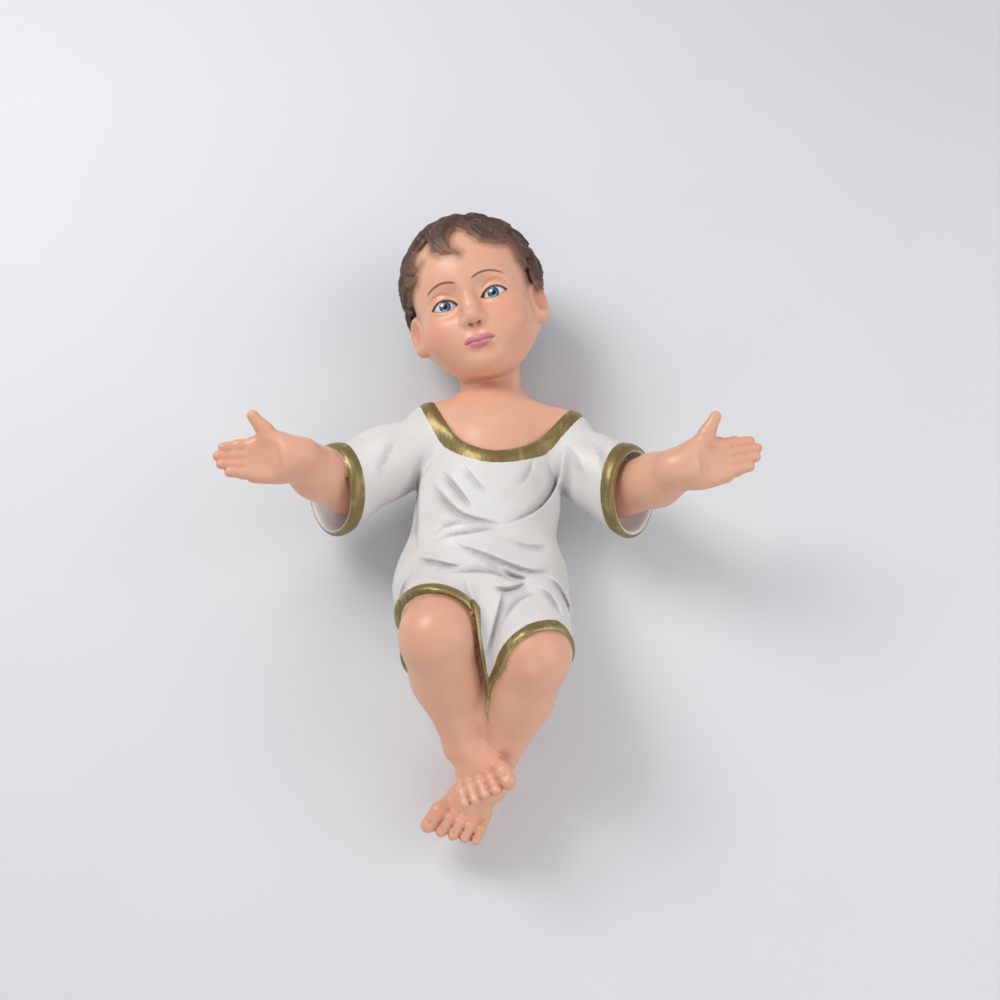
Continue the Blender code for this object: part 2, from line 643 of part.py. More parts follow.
def settled(field, points, size=14.0, eps=0.2):
    """Points moved onto the surface along the field's slope."""
    key = np.floor((points - points.min(0)) / size).astype(np.int64) @ np.array([10 ** 6, 10 ** 3, 1])
    order = np.argsort(key, kind="stable")
    groups = np.split(order, np.flatnonzero(np.diff(key[order])) + 1)
    corners = np.array([[1, -1, -1], [-1, -1, 1], [-1, 1, -1], [1, 1, 1]], float)
    out = points.copy()
    for ids in groups:
        d = field(Cloud(np.concatenate([points[ids] + eps * k for k in corners]))).reshape(4, -1)
        slope = np.einsum("kn,kx->nx", d, corners) / (4 * eps)
        move = -slope * (d.mean(0) / np.maximum((slope ** 2).sum(1), 0.1))[:, None]
        far = np.linalg.norm(move, axis=1, keepdims=True)
        out[ids] += move * np.minimum(1, GRID * 0.5 / np.maximum(far, 1e-9))
    return out


def largest_shell(bm):
    """Keep the biggest connected shell only."""
    left, shells = set(bm.verts), []
    while left:
        stack = [left.pop()]
        shell = list(stack)
        while stack:
            for edge in stack.pop().link_edges:
                for v in edge.verts:
                    if v in left:
                        left.remove(v)
                        stack.append(v)
                        shell.append(v)
        shells.append(shell)
    shells.sort(key=len)
    loose = [v for shell in shells[:-1] for v in shell]
    bmesh.ops.delete(bm, geom=loose, context="VERTS")


def thinned_out(body, count):
    """The body's mesh with fewer faces, and no edge shared by more than two."""
    thin = body.modifiers.new("thin", "DECIMATE")
    for less in range(0, 900, 60):
        thin.ratio = (TRIANGLES - less) / count
        bpy.context.view_layer.update()
        mesh = bpy.data.meshes.new_from_object(body.evaluated_get(bpy.context.evaluated_depsgraph_get()))
        bm = bmesh.new()
        bm.from_mesh(mesh)
        if all(edge.is_manifold for edge in bm.edges):
            break
        bm.free()
    body.modifiers.clear()
    return bm, mesh


def main():
    for old in list(bpy.data.objects):
        bpy.data.objects.remove(old)
    grid = unambiguous(sampled(figure, REACH_LOW, REACH_HIGH, GRID))
    points, faces = surface(grid, REACH_LOW, GRID)
    points = settled(figure, points)
    mesh = bpy.data.meshes.new(NAME)
    mesh.from_pydata((points * MM).tolist(), [], faces.tolist())
    bm = bmesh.new()
    bm.from_mesh(mesh)
    largest_shell(bm)
    bmesh.ops.triangulate(bm, faces=bm.faces[:])
    count = len(bm.faces)
    bm.to_mesh(mesh)
    bm.free()
    body = bpy.data.objects.new(NAME, mesh)
    bpy.context.scene.collection.objects.link(body)
    bm, thinned = thinned_out(body, count)

    # flat resting side
    everything = bm.verts[:] + bm.edges[:] + bm.faces[:]
    bmesh.ops.bisect_plane(bm, geom=everything, plane_co=(0, 0, 0), plane_no=(0, 0, -1), clear_outer=True)
    rim = [edge for edge in bm.edges if edge.is_boundary]
    bmesh.ops.holes_fill(bm, edges=rim, sides=0)
    bmesh.ops.remove_doubles(bm, verts=bm.verts[:], dist=0.02 * MM)
    bmesh.ops.triangulate(bm, faces=bm.faces[:])
    bmesh.ops.recalc_face_normals(bm, faces=bm.faces[:])
    low = [min(v.co[k] for v in bm.verts) for k in range(2)]
    high = [max(v.co[k] for v in bm.verts) for k in range(2)]
    for v in bm.verts:
        v.co.x -= (low[0] + high[0]) / 2
        v.co.y -= (low[1] + high[1]) / 2
    bm.to_mesh(thinned)
    bm.free()
    body.data = thinned

    paint = bpy.data.materials.new("painted_casting")
    paint.use_nodes = True
    shader = paint.node_tree.nodes["Principled BSDF"]
    shader.inputs["Base Color"].default_value = (0.78, 0.70, 0.62, 1)
    shader.inputs["Roughness"].default_value = 0.4
    thinned.materials.clear()
    thinned.materials.append(paint)


main()
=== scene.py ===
"""The painted casting of a lying child, carved and painted over its plain solid, with its stage.

The form is the solid's own distance field in millimetres, with the finer carving added: combed
locks, lids, joints, nails, palm lines and sharper creases in the cloth. Every point then carries
what lies on it, cloth, hair, gilding, hollow or blush, and one material reads that.
x is the figure's left, y runs from the feet to the crown, z is up from the floor.
"""
import math

import bmesh
import bpy
import numpy as np
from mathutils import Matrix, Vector


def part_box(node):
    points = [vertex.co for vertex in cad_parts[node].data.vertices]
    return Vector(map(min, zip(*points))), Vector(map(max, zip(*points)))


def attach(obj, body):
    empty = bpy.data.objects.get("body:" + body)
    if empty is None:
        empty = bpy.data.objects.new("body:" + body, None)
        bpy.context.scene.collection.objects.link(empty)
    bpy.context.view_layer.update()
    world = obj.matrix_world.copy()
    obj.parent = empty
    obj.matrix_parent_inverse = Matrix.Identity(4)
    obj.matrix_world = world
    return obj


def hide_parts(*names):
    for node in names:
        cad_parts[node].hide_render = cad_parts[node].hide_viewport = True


bl_info = {
    "name": "Painted Lying Child",
    "version": (1, 0, 0),
    "blender": (4, 5, 0),
    "location": "3D View > Sidebar > Figurine",
    "description": "Carves and paints a plaster crib child and sets up its stage",
    "category": "Add Mesh",
}

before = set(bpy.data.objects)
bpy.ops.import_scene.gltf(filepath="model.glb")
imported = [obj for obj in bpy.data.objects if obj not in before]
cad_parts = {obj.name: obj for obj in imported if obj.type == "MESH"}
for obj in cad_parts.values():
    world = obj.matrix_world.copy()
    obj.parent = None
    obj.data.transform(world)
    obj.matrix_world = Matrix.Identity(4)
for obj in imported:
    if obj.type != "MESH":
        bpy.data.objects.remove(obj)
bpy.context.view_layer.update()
NODE = "baby_jesus_figurine"
PIECE = "painted_child_casting"

MM = 0.001

# the field's value out of reach, and how near a shape has to be to be worked out
FAR = 60.0
NEAR = 14.0
# fillet at the bends of a built limb
BEND = 4

# cells in a block of the grid, and its lines: where a spacing starts, and the spacing
BLOCK = 12
LINES_X = ((-133, 0.9), (-92, 1.3), (-48, 0.8), (50, 1.3), (94, 0.9), (135, 0.9))
LINES_Y = ((-172, 0.85), (-112, 1.0), (-16, 0.85), (36, 0.72), (168, 0.72))
LINES_Z = ((-4, 1.1), (34, 0.8), (98, 0.8))

# finer carving: the lids' slant, the radii of their edges and half the eye's width
LID_SLANT, LID_UP, LID_LOW, LID_HALF = 0.05, 7.8, 10.5, 6.6
LID_UP_AT = math.sqrt(LID_UP ** 2 - LID_HALF ** 2)
LID_LOW_AT = math.sqrt(LID_LOW ** 2 - LID_HALF ** 2)
# depth of the comb lines, of a crease's groove, of the finger joints and of the toe joints
STRAND, CREASE, FINGER_JOINT, TOE_JOINT = 0.36, 0.5, 0.16, 0.1
# lips and the line between them: right half, middle, radii, softness
UPPER_LIP = (((-8.2, -27.2, 29.0), (-4.0, -25.6, 31.2)), ((0, -26.2, 31.8),), (0.8, 1.7, 1.6, 1.7, 0.8), 2.2)
LOWER_LIP = (((-7.2, -28.4, 29.0), (-3.2, -29.4, 31.2)), (), (0.9, 2.1, 2.1, 0.9), 1.8)
MOUTH = (((-7.8, -27.7, 30.9), (-4, -27.5, 33.0)), ((0, -27.9, 33.7),), (0.3, 0.45, 0.5, 0.45, 0.3), 0.8)
PALM_LINES = (
    ((4, 3.2, 8.2), (8, 0.5, 7.0), (15, 1.5, 5.0)),
    ((12, -8.5, 5.0), (14, -2, 4.2), (17.5, 3, 4.6)),
    ((9, -8.5, 5.6), (10.5, -2, 4.6), (14, 4.5, 5.0)),
)

# head: place, tip forward, lean to the right shoulder, turn
HEAD_AT = np.array([-6.5, 108.5, 50.0])
HEAD_TIP, HEAD_LEAN, HEAD_TURN = 16.0, 15.0, -8.0
SKULL_AT, SKULL = np.array([0, 8.5, -7.0]), np.array([31.0, 33.5, 37.0])
# masses of the face: place, radii, fillet
FOREHEAD = ((0, 14, 8), (27.5, 23, 23.5), 12)
CHEEKS = ((0, -14, 7), (25.5, 27, 24), 14)
MUZZLE = ((0, -25, 20.5), (15, 10, 11), 9)
CHIN = ((0, -35.5, 20.5), (9, 7, 8.5), 8)
NOSE, NOSE_RADII = ((0, 2, 28.0), (0, -8, 31.6), (0, -14.5, 34.4)), (2.6, 2.3, 3.0)
HAIR_AT, HAIR = np.array([0, 9.0, -8.0]), np.array([32.5, 36.0, 39.5])
EYE_X, EYE_Y, EYE_Z, EYE_RADIUS, LID = 13.0, -5.0, 21.4, 7.4, 0.95
# the hairline's place along its own direction, and how it climbs outside the temples
HAIRLINE_AT, TEMPLES, TEMPLE_RISE = -3.0, 12, 0.24
# how far round its place the head reaches, and the fillet where it meets the neck
HEAD_REACH, HEAD_TO_NECK = 62, 5

# arms and hands
ARM_RIGHT = ((-70, 8, 36), (-83, 6.5, 58), (-93, 5.8, 76))
ARM_LEFT = ((66, 7, 36), (83, 2.5, 58), (95.5, 1.0, 76))
ARM_RADII = (14.0, 12.4, 9.6)
HAND_RIGHT = dict(wrist=(-93.2, 5.6, 76), out=(-0.985, -0.13, 0.16), palm=(-0.10, -0.42, 0.9))
HAND_LEFT = dict(wrist=(95.6, 1.0, 76), out=(0.985, 0.16, 0.10), palm=(0.05, -0.42, 0.9))
# heel, little finger's side, first finger's side, middle, and balls of a palm: points, radii, fillet
PALM = (
    (((-6, 0, -1), (4, 0, -1)), (9.3, 8.6), 0),
    (((7, -5.5, -1), (17, -6.6, -1)), (6.2, 4.9), 6),
    (((7, 4.5, -1), (17, 6.2, -1)), (6.5, 4.7), 6),
    (((8, 0, -2), (17, 0, -1.5)), (6.0, 4.6), 6),
    (((5, 6.5, 1), (11, 8.5, 1.2)), (5.4, 4.4), 4),
    (((4, -6, 0.5), (11, -6.5, 0.8)), (5.2, 4.2), 4),
)
PALM_HOLLOW = ((12.5, -0.5, 7.4), (9, 7, 3.0))
THUMB, THUMB_RADII = ((7, 8, 0.8), (12.0, 14, 2.2), (17.0, 20.5, 3.2)), (4.6, 3.6, 2.8)
# fingers from the first: lengths, spacing, and the joints' places as shares of a length
FINGERS, FINGER_PITCH, JOINTS_AT = (15.0, 17.0, 16.0, 13.0), 4.7, (0.1, 0.42, 0.72)

# legs and feet
LEG_RIGHT = dict(
    hip=(-20, -42, 36), knee=(-21.6, -84.6, 76), calf=(-17.8, -97, 59), ankle=(-9.4, -123.0, 43.5)
)
LEG_LEFT = dict(
    hip=(17, -42, 34), knee=(21.5, -91.0, 70), calf=(15.0, -104, 52), ankle=(-0.8, -137.5, 26)
)
FOOT_RIGHT = dict(
    ankle=(-9.6, -123.0, 43.5), out=(0.36, -0.82, 0.44), sole=(0.33, -0.36, -0.87),
    big=1, slant=-0.30, curl_down=0.6,
)
FOOT_LEFT = dict(
    ankle=(-0.8, -137.5, 26), out=(-0.60, -0.78, 0.16), sole=(-0.1, -0.22, -0.97),
    big=-1, slant=0.0, curl_down=2.6,
)
# heel, instep, ball and outer edge of a foot: points, radii, fillet
SOLE = (
    (((-8, 0, -8.5), (0, 0, -4)), (8.4, 9.4), 0),
    (((-2, 0, -4), (10, 1.5, -7.5), (17, 2, -11.0)), (9.6, 7.8, 5.4), 6),
    (((12, 6.0, -9.5), (20, 7.0, -11.5)), (6.0, 4.8), 5),
    (((10, -5, -10), (17, -6.5, -11.5)), (5.4, 4.0), 5),
)
# how far to the side the big toe lies, then the toes from it: radius, reach
BIG_TOE_Y = 9.0
TOES = ((3.8, 29.8), (2.7, 28.6), (2.6, 26.4), (2.5, 24.2), (2.3, 21.8))

# tunic
TRUNK = ((3, 26, 29.5), (0, 0, 29.5), (-3, -26, 30.0), (-2.5, -46, 31))
TRUNK_RADII, TRUNK_FLAT = (34.0, 34.0, 33.5, 35.0), 0.94
SHOULDERS = (((2, 36, 34), (-27, 40, 35)), ((4, 35, 34), (39, 36, 35)))
CLOTH = 1.3
CUFF_RIGHT = dict(at=(-77, 4.0, 45), out=(-0.80, -0.335, 0.50))
CUFF_LEFT = dict(at=(72.5, 3.5, 45), out=(0.82, -0.29, 0.49))
SLEEVE_RIGHT = ((-27, 35.5, 36), (-52, 21.5, 38), (-77, 4.5, 42), (-96, -5, 47))
SLEEVE_LEFT = ((38, 30, 36), (55, 16.5, 38), (72.5, 4, 42), (90, -6, 47))
SLEEVE_RADII = (15.5, 17.2, 20.3, 22)
CUFF_DEEP, CUFF_WALL = 14.0, 3.0
GOLD_CUFF, GOLD_NECK, GOLD_HEM, GOLD_RISE = 7.0, 7.5, 5.5, 0.7
NECKLINE = ((-31, 64), (-22.5, 41), (-12.2, 24.2), (3, 17.0), (20, 22.4), (34, 36.5), (48, 58))
HEM_AT, HEM_OUT = (-22, -65, 85.0), (-0.235, -0.86, 0.46)
HEM_TILT = 65.0
# the skirt beside the right hip, and the tongue that it runs down in
SKIRT_SIDE, SKIRT_SIDE_RADII = ((-24, -48, 34), (-27, -84, 40)), (21, 13)
TONGUE, TONGUE_RADII = ((-2, -48, 50), (0, -86, 61), (1, -122, 51)), (20, 12.5, 5.5)
# the bare knees on either side of the hem's tongue, seen along the tilt: line, radii
BARE_RIGHT = (((-22.1, -57.5, 0), (-15.5, -89.5, 0), (-9.5, -116, 0)), (17.5, 16, 10))
BARE_LEFT = (((28, -77, 0), (24.5, -95, 0), (10, -125, 0)), (19.5, 23.5, 16))
WEB, WEB_RADII = ((-1, -52, 40), (0, -84, 49), (2, -108, 46), (3, -122, 40)), (19, 15, 11.5, 8)
WEB_TOP = ((-11, -69, 66), (-8.5, -80, 67.5), (-1, -102, 53))

# how much every fold is raised, then the folds: curve in x and y, breadth of the roll on its left,
# height there, depth of the crease, lowest z
FOLD = 1.3
FOLDS = (
    (((-22.2, 8.1), (-13.8, -4.3), (-5.9, -16.5)), 9, 1.2, 0.9, 40),
    (((-28, 4), (-17.5, -12.3), (-7.8, -20.2), (8.9, -23.9)), 10, 1.7, 0.9, 40),
    (((6, -24.5), (16.1, -18.9), (26.5, -9.3), (34.5, 6.8), (37.5, 28)), -11, 1.9, 0.9, 32),
    (((-24.4, -24.3), (-14.9, -22.7), (-7.8, -22.2)), -5, 0.9, 0.5, 40),
    (((-25, -29.5), (-7.7, -29.0), (7, -25.0)), -8, 1.3, 0.8, 40),
    (((-16, -34.5), (-2.9, -41.1), (11.2, -46.1), (22.8, -48.1), (32, -43)), 10, 1.8, 0.9, 40),
    (((-33.0, -40.0), (-19.2, -46.6), (-10, -48.6)), 9, 1.6, 0.8, 40),
    (((-18.9, -52.2), (1.9, -51.2), (15, -56)), -9, 1.4, 0.8, 50),
    (((7.5, -48.6), (13, -51.5), (19.5, -52.8)), 5, 1.6, 1.6, 45),
    (((3.2, -58.6), (11, -59.4), (19.5, -55)), 5, 1.4, 1.2, 45),
    (((-33.5, -36), (-34.5, 6), (-31, 27)), -9, 1.4, 0.8, 18),
    (((40.5, 30), (38.5, 8), (37, -8)), -8, 1.5, 0.8, 25),
    (((28, -50), (35, -55), (40, -66)), 7, 1.3, 0.8, 30),
    (((23, -58), (30, -63), (35, -74)), 7, 1.1, 0.7, 30),
    (((-36, -46), (-39, -58), (-40, -75)), -6, 1.0, 0.6, 20),
    (((-12, 9), (-4, -2), (2, -8)), 8, 0.7, 0.3, 45),
    (((14, -4), (20, 4), (24, 16)), -8, 0.7, 0.3, 45),
    (((10, -31), (20, -33), (31, -30)), 6, 0.7, 0.4, 45),
    (((-9, -56), (-5, -75), (-2, -97)), 5, 1.1, 0.7, 45),
    (((9, -58), (6, -72), (1, -94)), -6, 1.2, 0.8, 45),
    (((25, -62), (15, -67), (7, -79)), 6, 1.1, 0.7, 45),
    (((-44, 28), (-50, 14), (-54, 2)), 8, 1.0, 0.5, 40),
    (((52, 26), (56, 14), (57, 0)), -8, 1.1, 0.6, 40),
    (((34, 30), (44, 18), (50, 2)), 9, 1.0, 0.5, 40),
)

# how far a fold can reach to either side of its curve
FOLD_REACH = 12

# curls in rings: height on the head, how many, length, half width
CURL_RINGS = (
    (80, 5, 26, 4.1),
    (62, 9, 27, 4.1),
    (43, 13, 27, 4.0),
    (24, 15, 26, 3.9),
    (5, 15, 25, 3.9),
    (-13, 12, 22, 3.8),
    (-28, 9, 18, 3.6),
)
# curls over the brow and temples: round from the face, height, heading, length, bend, half width
BROW_CURLS = (
    (30, 58, -85, 42, 165, 5.6),
    (14, 48, -90, 33, 175, 4.8),
    (-4, 70, -85, 34, 120, 5.2),
    (-34, 56, -60, 26, 120, 4.8),
    (42, 44, 35, 24, -150, 4.4),
    (25, 47, 62, 20, -125, 4.0),
    (52, 28, 10, 22, 180, 4.2),
    (-50, 36, -30, 22, 170, 4.2),
    (-60, 18, 0, 22, -180, 4.2),
    (70, 20, 70, 20, -180, 4.2),
    (-74, 16, -70, 20, 180, 4.2),
)


def sind(angle):
    return math.sin(math.radians(angle))


def cosd(angle):
    return math.cos(math.radians(angle))


def unit(v):
    v = np.asarray(v, float)
    return v / np.linalg.norm(v)


HAIRLINE = unit((0, 0.555, -0.832))


class Cloud:
    """Points and the ball round them."""

    def __init__(self, p):
        self.p = p
        low, high = p.min(0), p.max(0)
        self.centre = (low + high) / 2
        self.reach = np.linalg.norm(high - low) / 2

    def near(self, centre, radius, margin=NEAR):
        return np.linalg.norm(self.centre - centre) - self.reach < radius + margin

    def seen_from(self, at, axes):
        """The same points in a part's own frame."""
        return Cloud((self.p - at) @ np.asarray(axes).T)


# shapes: distances, negative inside; a plain FAR where the shape is out of reach
def join(a, b, k=0.0):
    if np.isscalar(a):
        return b
    if np.isscalar(b):
        return a
    if k <= 0:
        return np.minimum(a, b)
    h = np.maximum(k - np.abs(a - b), 0) / k
    return np.minimum(a, b) - h * h * k * 0.25


def within(a, b, k=0.0):
    if np.isscalar(a) or np.isscalar(b):
        return a if np.isscalar(a) else b
    if k <= 0:
        return np.maximum(a, b)
    h = np.maximum(k - np.abs(a - b), 0) / k
    return np.maximum(a, b) + h * h * k * 0.25


def cut(a, b, k=0.0):
    if np.isscalar(a) or np.isscalar(b):
        return a
    return within(a, -b, k)


def ball(c, centre, r, margin=NEAR):
    if not c.near(np.asarray(centre, float), r, margin):
        return FAR
    return np.linalg.norm(c.p - centre, axis=1) - r


def ellipsoid(c, centre, radii, margin=NEAR):
    centre, radii = np.asarray(centre, float), np.asarray(radii, float)
    if not c.near(centre, radii.max(), margin):
        return FAR
    q = c.p - centre
    k0 = np.linalg.norm(q / radii, axis=1)
    k1 = np.linalg.norm(q / radii ** 2, axis=1)
    return k0 * (k0 - 1) / np.maximum(k1, 1e-6)


def limb(c, points, radii, k=0.0, flat=1.0, margin=NEAR):
    """A tapered tube through points; flat below 1 thins it in z."""
    points = np.asarray(points, float)
    centre = points.mean(0)
    reach = np.linalg.norm(points - centre, axis=1).max() + max(radii)
    if not c.near(centre, reach, margin):
        return FAR
    squash = np.array([1, 1, 1 / flat])
    p, points = c.p * squash, points * squash
    d = FAR
    for a, b, ra, rb in zip(points[:-1], points[1:], radii[:-1], radii[1:]):
        ab = b - a
        t = np.clip(((p - a) @ ab) / max(ab @ ab, 1e-9), 0, 1)
        d = join(d, np.linalg.norm(p - a - t[:, None] * ab, axis=1) - (ra + (rb - ra) * t), k)
    return d * (0.5 + 0.5 * flat)


def built(c, parts):
    """Tapered limbs joined in turn: points, radii, fillet."""
    d = FAR
    for points, radii, soft in parts:
        d = join(d, limb(c, points, radii, k=BEND), soft)
    return d


def plane(c, point, normal):
    """Negative on the side away from the normal."""
    return (c.p - np.asarray(point, float)) @ unit(normal)


def bump(x):
    x = np.clip(np.abs(x), 0, 1)
    return (1 - x * x) ** 2


def tilted(tip, lean, turn):
    """A part's own x, y and z axes once it is tipped, leant and turned."""
    tipped = np.array([[1, 0, 0], [0, cosd(tip), -sind(tip)], [0, sind(tip), cosd(tip)]])
    leant = np.array([[cosd(lean), -sind(lean), 0], [sind(lean), cosd(lean), 0], [0, 0, 1]])
    turned = np.array([[cosd(turn), 0, sind(turn)], [0, 1, 0], [-sind(turn), 0, cosd(turn)]])
    return (tipped @ leant @ turned).T


HEAD_AXES = tilted(HEAD_TIP, HEAD_LEAN, HEAD_TURN)


# head: x to its left, y to the crown, z out of the face
def lid_opening(h, side):
    """Negative inside the almond between the lids, seen from the front."""
    x = h.p[:, 0] * side - EYE_X
    y = h.p[:, 1] - EYE_Y - LID_SLANT * x
    above = np.hypot(x, y + LID_UP_AT) - LID_UP
    below = np.hypot(x, y - LID_LOW_AT) - LID_LOW
    return np.maximum(above, below)


def mirrored(half, middle):
    """A line from the right corner through its middle points to the left corner."""
    return list(half) + list(middle) + [(-x, y, z) for x, y, z in reversed(half)]


def face(h):
    d = ellipsoid(h, SKULL_AT, SKULL)
    for centre, radii, soft in (FOREHEAD, CHEEKS):
        d = join(d, ellipsoid(h, centre, radii), soft)
    for s in (-1, 1):
        d = join(d, ball(h, (s * 15.5, -17.5, 17.2), 12), 9)
        d = join(d, limb(h, [(s * 24, -14, -4), (s * 10, -32, 12)], [8.5, 8]), 9)
    for centre, radii, soft in (MUZZLE, CHIN):
        d = join(d, ellipsoid(h, centre, radii), soft)
    if not h.near((0, -12, 30), 26, 6):
        return d
    for s in (-1, 1):
        d = cut(d, ellipsoid(h, (s * 12.0, EYE_Y + 1.5, 33.0), (10, 6.5, 5.5)), 6)
    d = join(d, limb(h, NOSE, NOSE_RADII, k=3), 5)
    d = join(d, ball(h, (0, -15.0, 34.6), 3.5), 3)
    for s in (-1, 1):
        d = join(d, ellipsoid(h, (s * 4.1, -16.7, 31.8), (2.8, 2.6, 3.2)), 2)
        d = cut(d, limb(h, [(s * 1.9, -19.6, 34.0), (s * 2.5, -17.6, 33.2)], [0.85, 0.6]), 0.9)
    for s in (-1, 1):
        at = (s * EYE_X, EYE_Y, EYE_Z)
        lids = ball(h, at, EYE_RADIUS + LID)
        d = join(d, lids, 2.6)
        if not np.isscalar(lids):
            d = cut(d, np.maximum(lid_opening(h, s), 22 - h.p[:, 2]), 0.9)
            d = join(d, ball(h, at, EYE_RADIUS), 0.3)
            lid_fold = np.abs(ball(h, (s * EYE_X, EYE_Y + 2.3, EYE_Z - 0.6), EYE_RADIUS + LID + 0.5))
            above = np.clip((h.p[:, 1] - EYE_Y - 2.5) / 2, 0, 1)
            across = np.clip((9 - np.abs(h.p[:, 0] * s - EYE_X)) / 2, 0, 1)
            d = d + 0.35 * bump(lid_fold / 0.8) * above * across * (h.p[:, 2] > 20)
    for half, middle, radii, soft in (UPPER_LIP, LOWER_LIP):
        d = join(d, limb(h, mirrored(half, middle), radii, k=1.5), soft)
    half, middle, radii, soft = MOUTH
    d = cut(d, limb(h, mirrored(half, middle), radii), soft)
    d = cut(d, limb(h, [(0, -20.8, 34.5), (0, -23.4, 34.1)], [0.8, 1.0]), 2.0)
    return cut(d, ellipsoid(h, (0, -32.6, 32.6), (6, 1.8, 1.6)), 4)


def ear(h, s):
    at = np.array([s * 31.5, -9.0, 2.0])
    if not h.near(at, 18, 6):
        return FAR
    out = unit((s * 0.84, 0.0, 0.54))
    up = unit((-s * 0.08, 1, -0.10))
    e = h.seen_from(at, [out, up, unit(np.cross(out, up)) * s])
    d = ellipsoid(e, (0.6, 0.5, 0), (3.8, 11.0, 7.8))
    d = cut(d, ellipsoid(e, (4.0, 1.6, 0.6), (3.2, 7.2, 4.8)), 1.4)
    return join(d, ball(e, (1.4, -7.4, -0.8), 3.1), 2)


def with_ears(h, d):
    for s in (-1, 1):
        d = join(d, ear(h, s), 1.6)
    return d


def on_head(around, height, lift):
    way = np.array([sind(around) * cosd(height), sind(height), cosd(around) * cosd(height)])
    return HAIR_AT + (HAIR + lift) * way


def curl(around, height, heading, length, bend, thick, lift=0.0, n=6):
    """A lock laid on the head; heading 0 runs down to the neck."""
    points, radii = [], []
    for k in range(n + 1):
        t = k / n
        points.append(on_head(around, height, lift + thick * 0.1))
        swell = 0.72 + 0.5 * math.sin(math.pi * min(1, t * 1.15))
        radii.append(thick * swell * (1 - 0.62 * t ** 3))
        h = heading + bend * t
        height -= math.degrees(length / n * cosd(h) / 37)
        around += math.degrees(length / n * sind(h) / (37 * max(cosd(height), 0.35)))
    return np.array(points), radii


def curls():
    out = []
    for row, (height, count, length, thick) in enumerate(CURL_RINGS):
        for k in range(count):
            around = 360.0 * (k + 0.5 * (row % 2)) / count + 7
            sway = math.sin(12.9898 * (k + 1) + 78.233 * row)
            side = 1 if (k + row) % 2 else -1
            start = on_head(around, height + 4 * sway, 0)
            over_ear = abs(start[0]) > 20 and -22 < start[1] < 3 and start[2] > -5
            if start @ HAIRLINE < HAIRLINE_AT + 5.5 or over_ear:
                continue
            heading = 14 * sway - side * 55
            bend = side * (215 + 50 * sway)
            lift = 2.0 * (k % 2) + 0.3
            size = length * (1 + 0.12 * sway)
            out.append(curl(around, height + 4 * sway, heading, size, bend, thick, lift))
    for sizes in BROW_CURLS:
        out.append(curl(*sizes, lift=1.0))
    return out


CURLS = curls()


def before_hairline(h):
    """Positive on the face's side of the hairline."""
    return HAIRLINE_AT - TEMPLE_RISE * np.maximum(np.abs(h.p[:, 0]) - TEMPLES, 0) - h.p @ HAIRLINE


def hair(h):
    if not h.near(HAIR_AT, 48):
        return FAR
    d = within(ellipsoid(h, HAIR_AT, HAIR - 1.2), before_hairline(h), 4)
    for points, radii in CURLS:
        lock = limb(h, points, radii, k=0.5, margin=4)
        if not np.isscalar(lock):
            lock = lock + strands(h, points, lock)
        d = join(d, lock, 0.5)
    return d


def strands(h, points, d):
    """Comb lines along a lock, told by the way round it that a point lies."""
    groove = np.zeros(len(d))
    near = d < 2.5
    if not near.any():
        return groove
    p = h.p[near]
    best, round_it = np.full(len(p), 1e9), np.zeros(len(p))
    for a, b in zip(points[:-1], points[1:]):
        ab = b - a
        t = np.clip(((p - a) @ ab) / (ab @ ab), 0, 1)
        off = p - a - t[:, None] * ab
        r = np.linalg.norm(off, axis=1)
        out = unit((a + b) / 2 - HAIR_AT)
        angle = np.arctan2(off @ unit(np.cross(ab, out)), off @ out)
        closer = r < best
        best[closer], round_it[closer] = r[closer], angle[closer]
    groove[near] = STRAND * (np.cos(round_it * 7) + 0.45 * np.cos(round_it * 15 + 1))
    return groove


def head(c):
    if not c.near(HEAD_AT, HEAD_REACH):
        return FAR
    h = c.seen_from(HEAD_AT, HEAD_AXES)
    return join(with_ears(h, face(h)), hair(h), 0.8)


def trunk(c):
    d = limb(c, TRUNK, TRUNK_RADII, k=10, flat=TRUNK_FLAT)
    for ends in SHOULDERS:
        d = join(d, limb(c, ends, [17, 16]), 10)
    return d


def neck(c):
    low = np.array([3.5, 32.0, 33.0])
    top = HEAD_AT + HEAD_AXES.T @ np.array([0, -20, -13.0])
    d = limb(c, [top, (top + low) / 2 + [0.0, 0, 1], low], [16.0, 15.6, 19])
    for s, tip in ((-1, (-27, 42, 35)), (1, (39, 38, 35))):
        d = join(d, limb(c, [(s * 7 + 2, 50, 35), tip], [12.5, 12]), 10)
    chest = trunk(c)
    if not np.isscalar(chest):
        d = join(d, chest + CLOTH, 8)
    return d


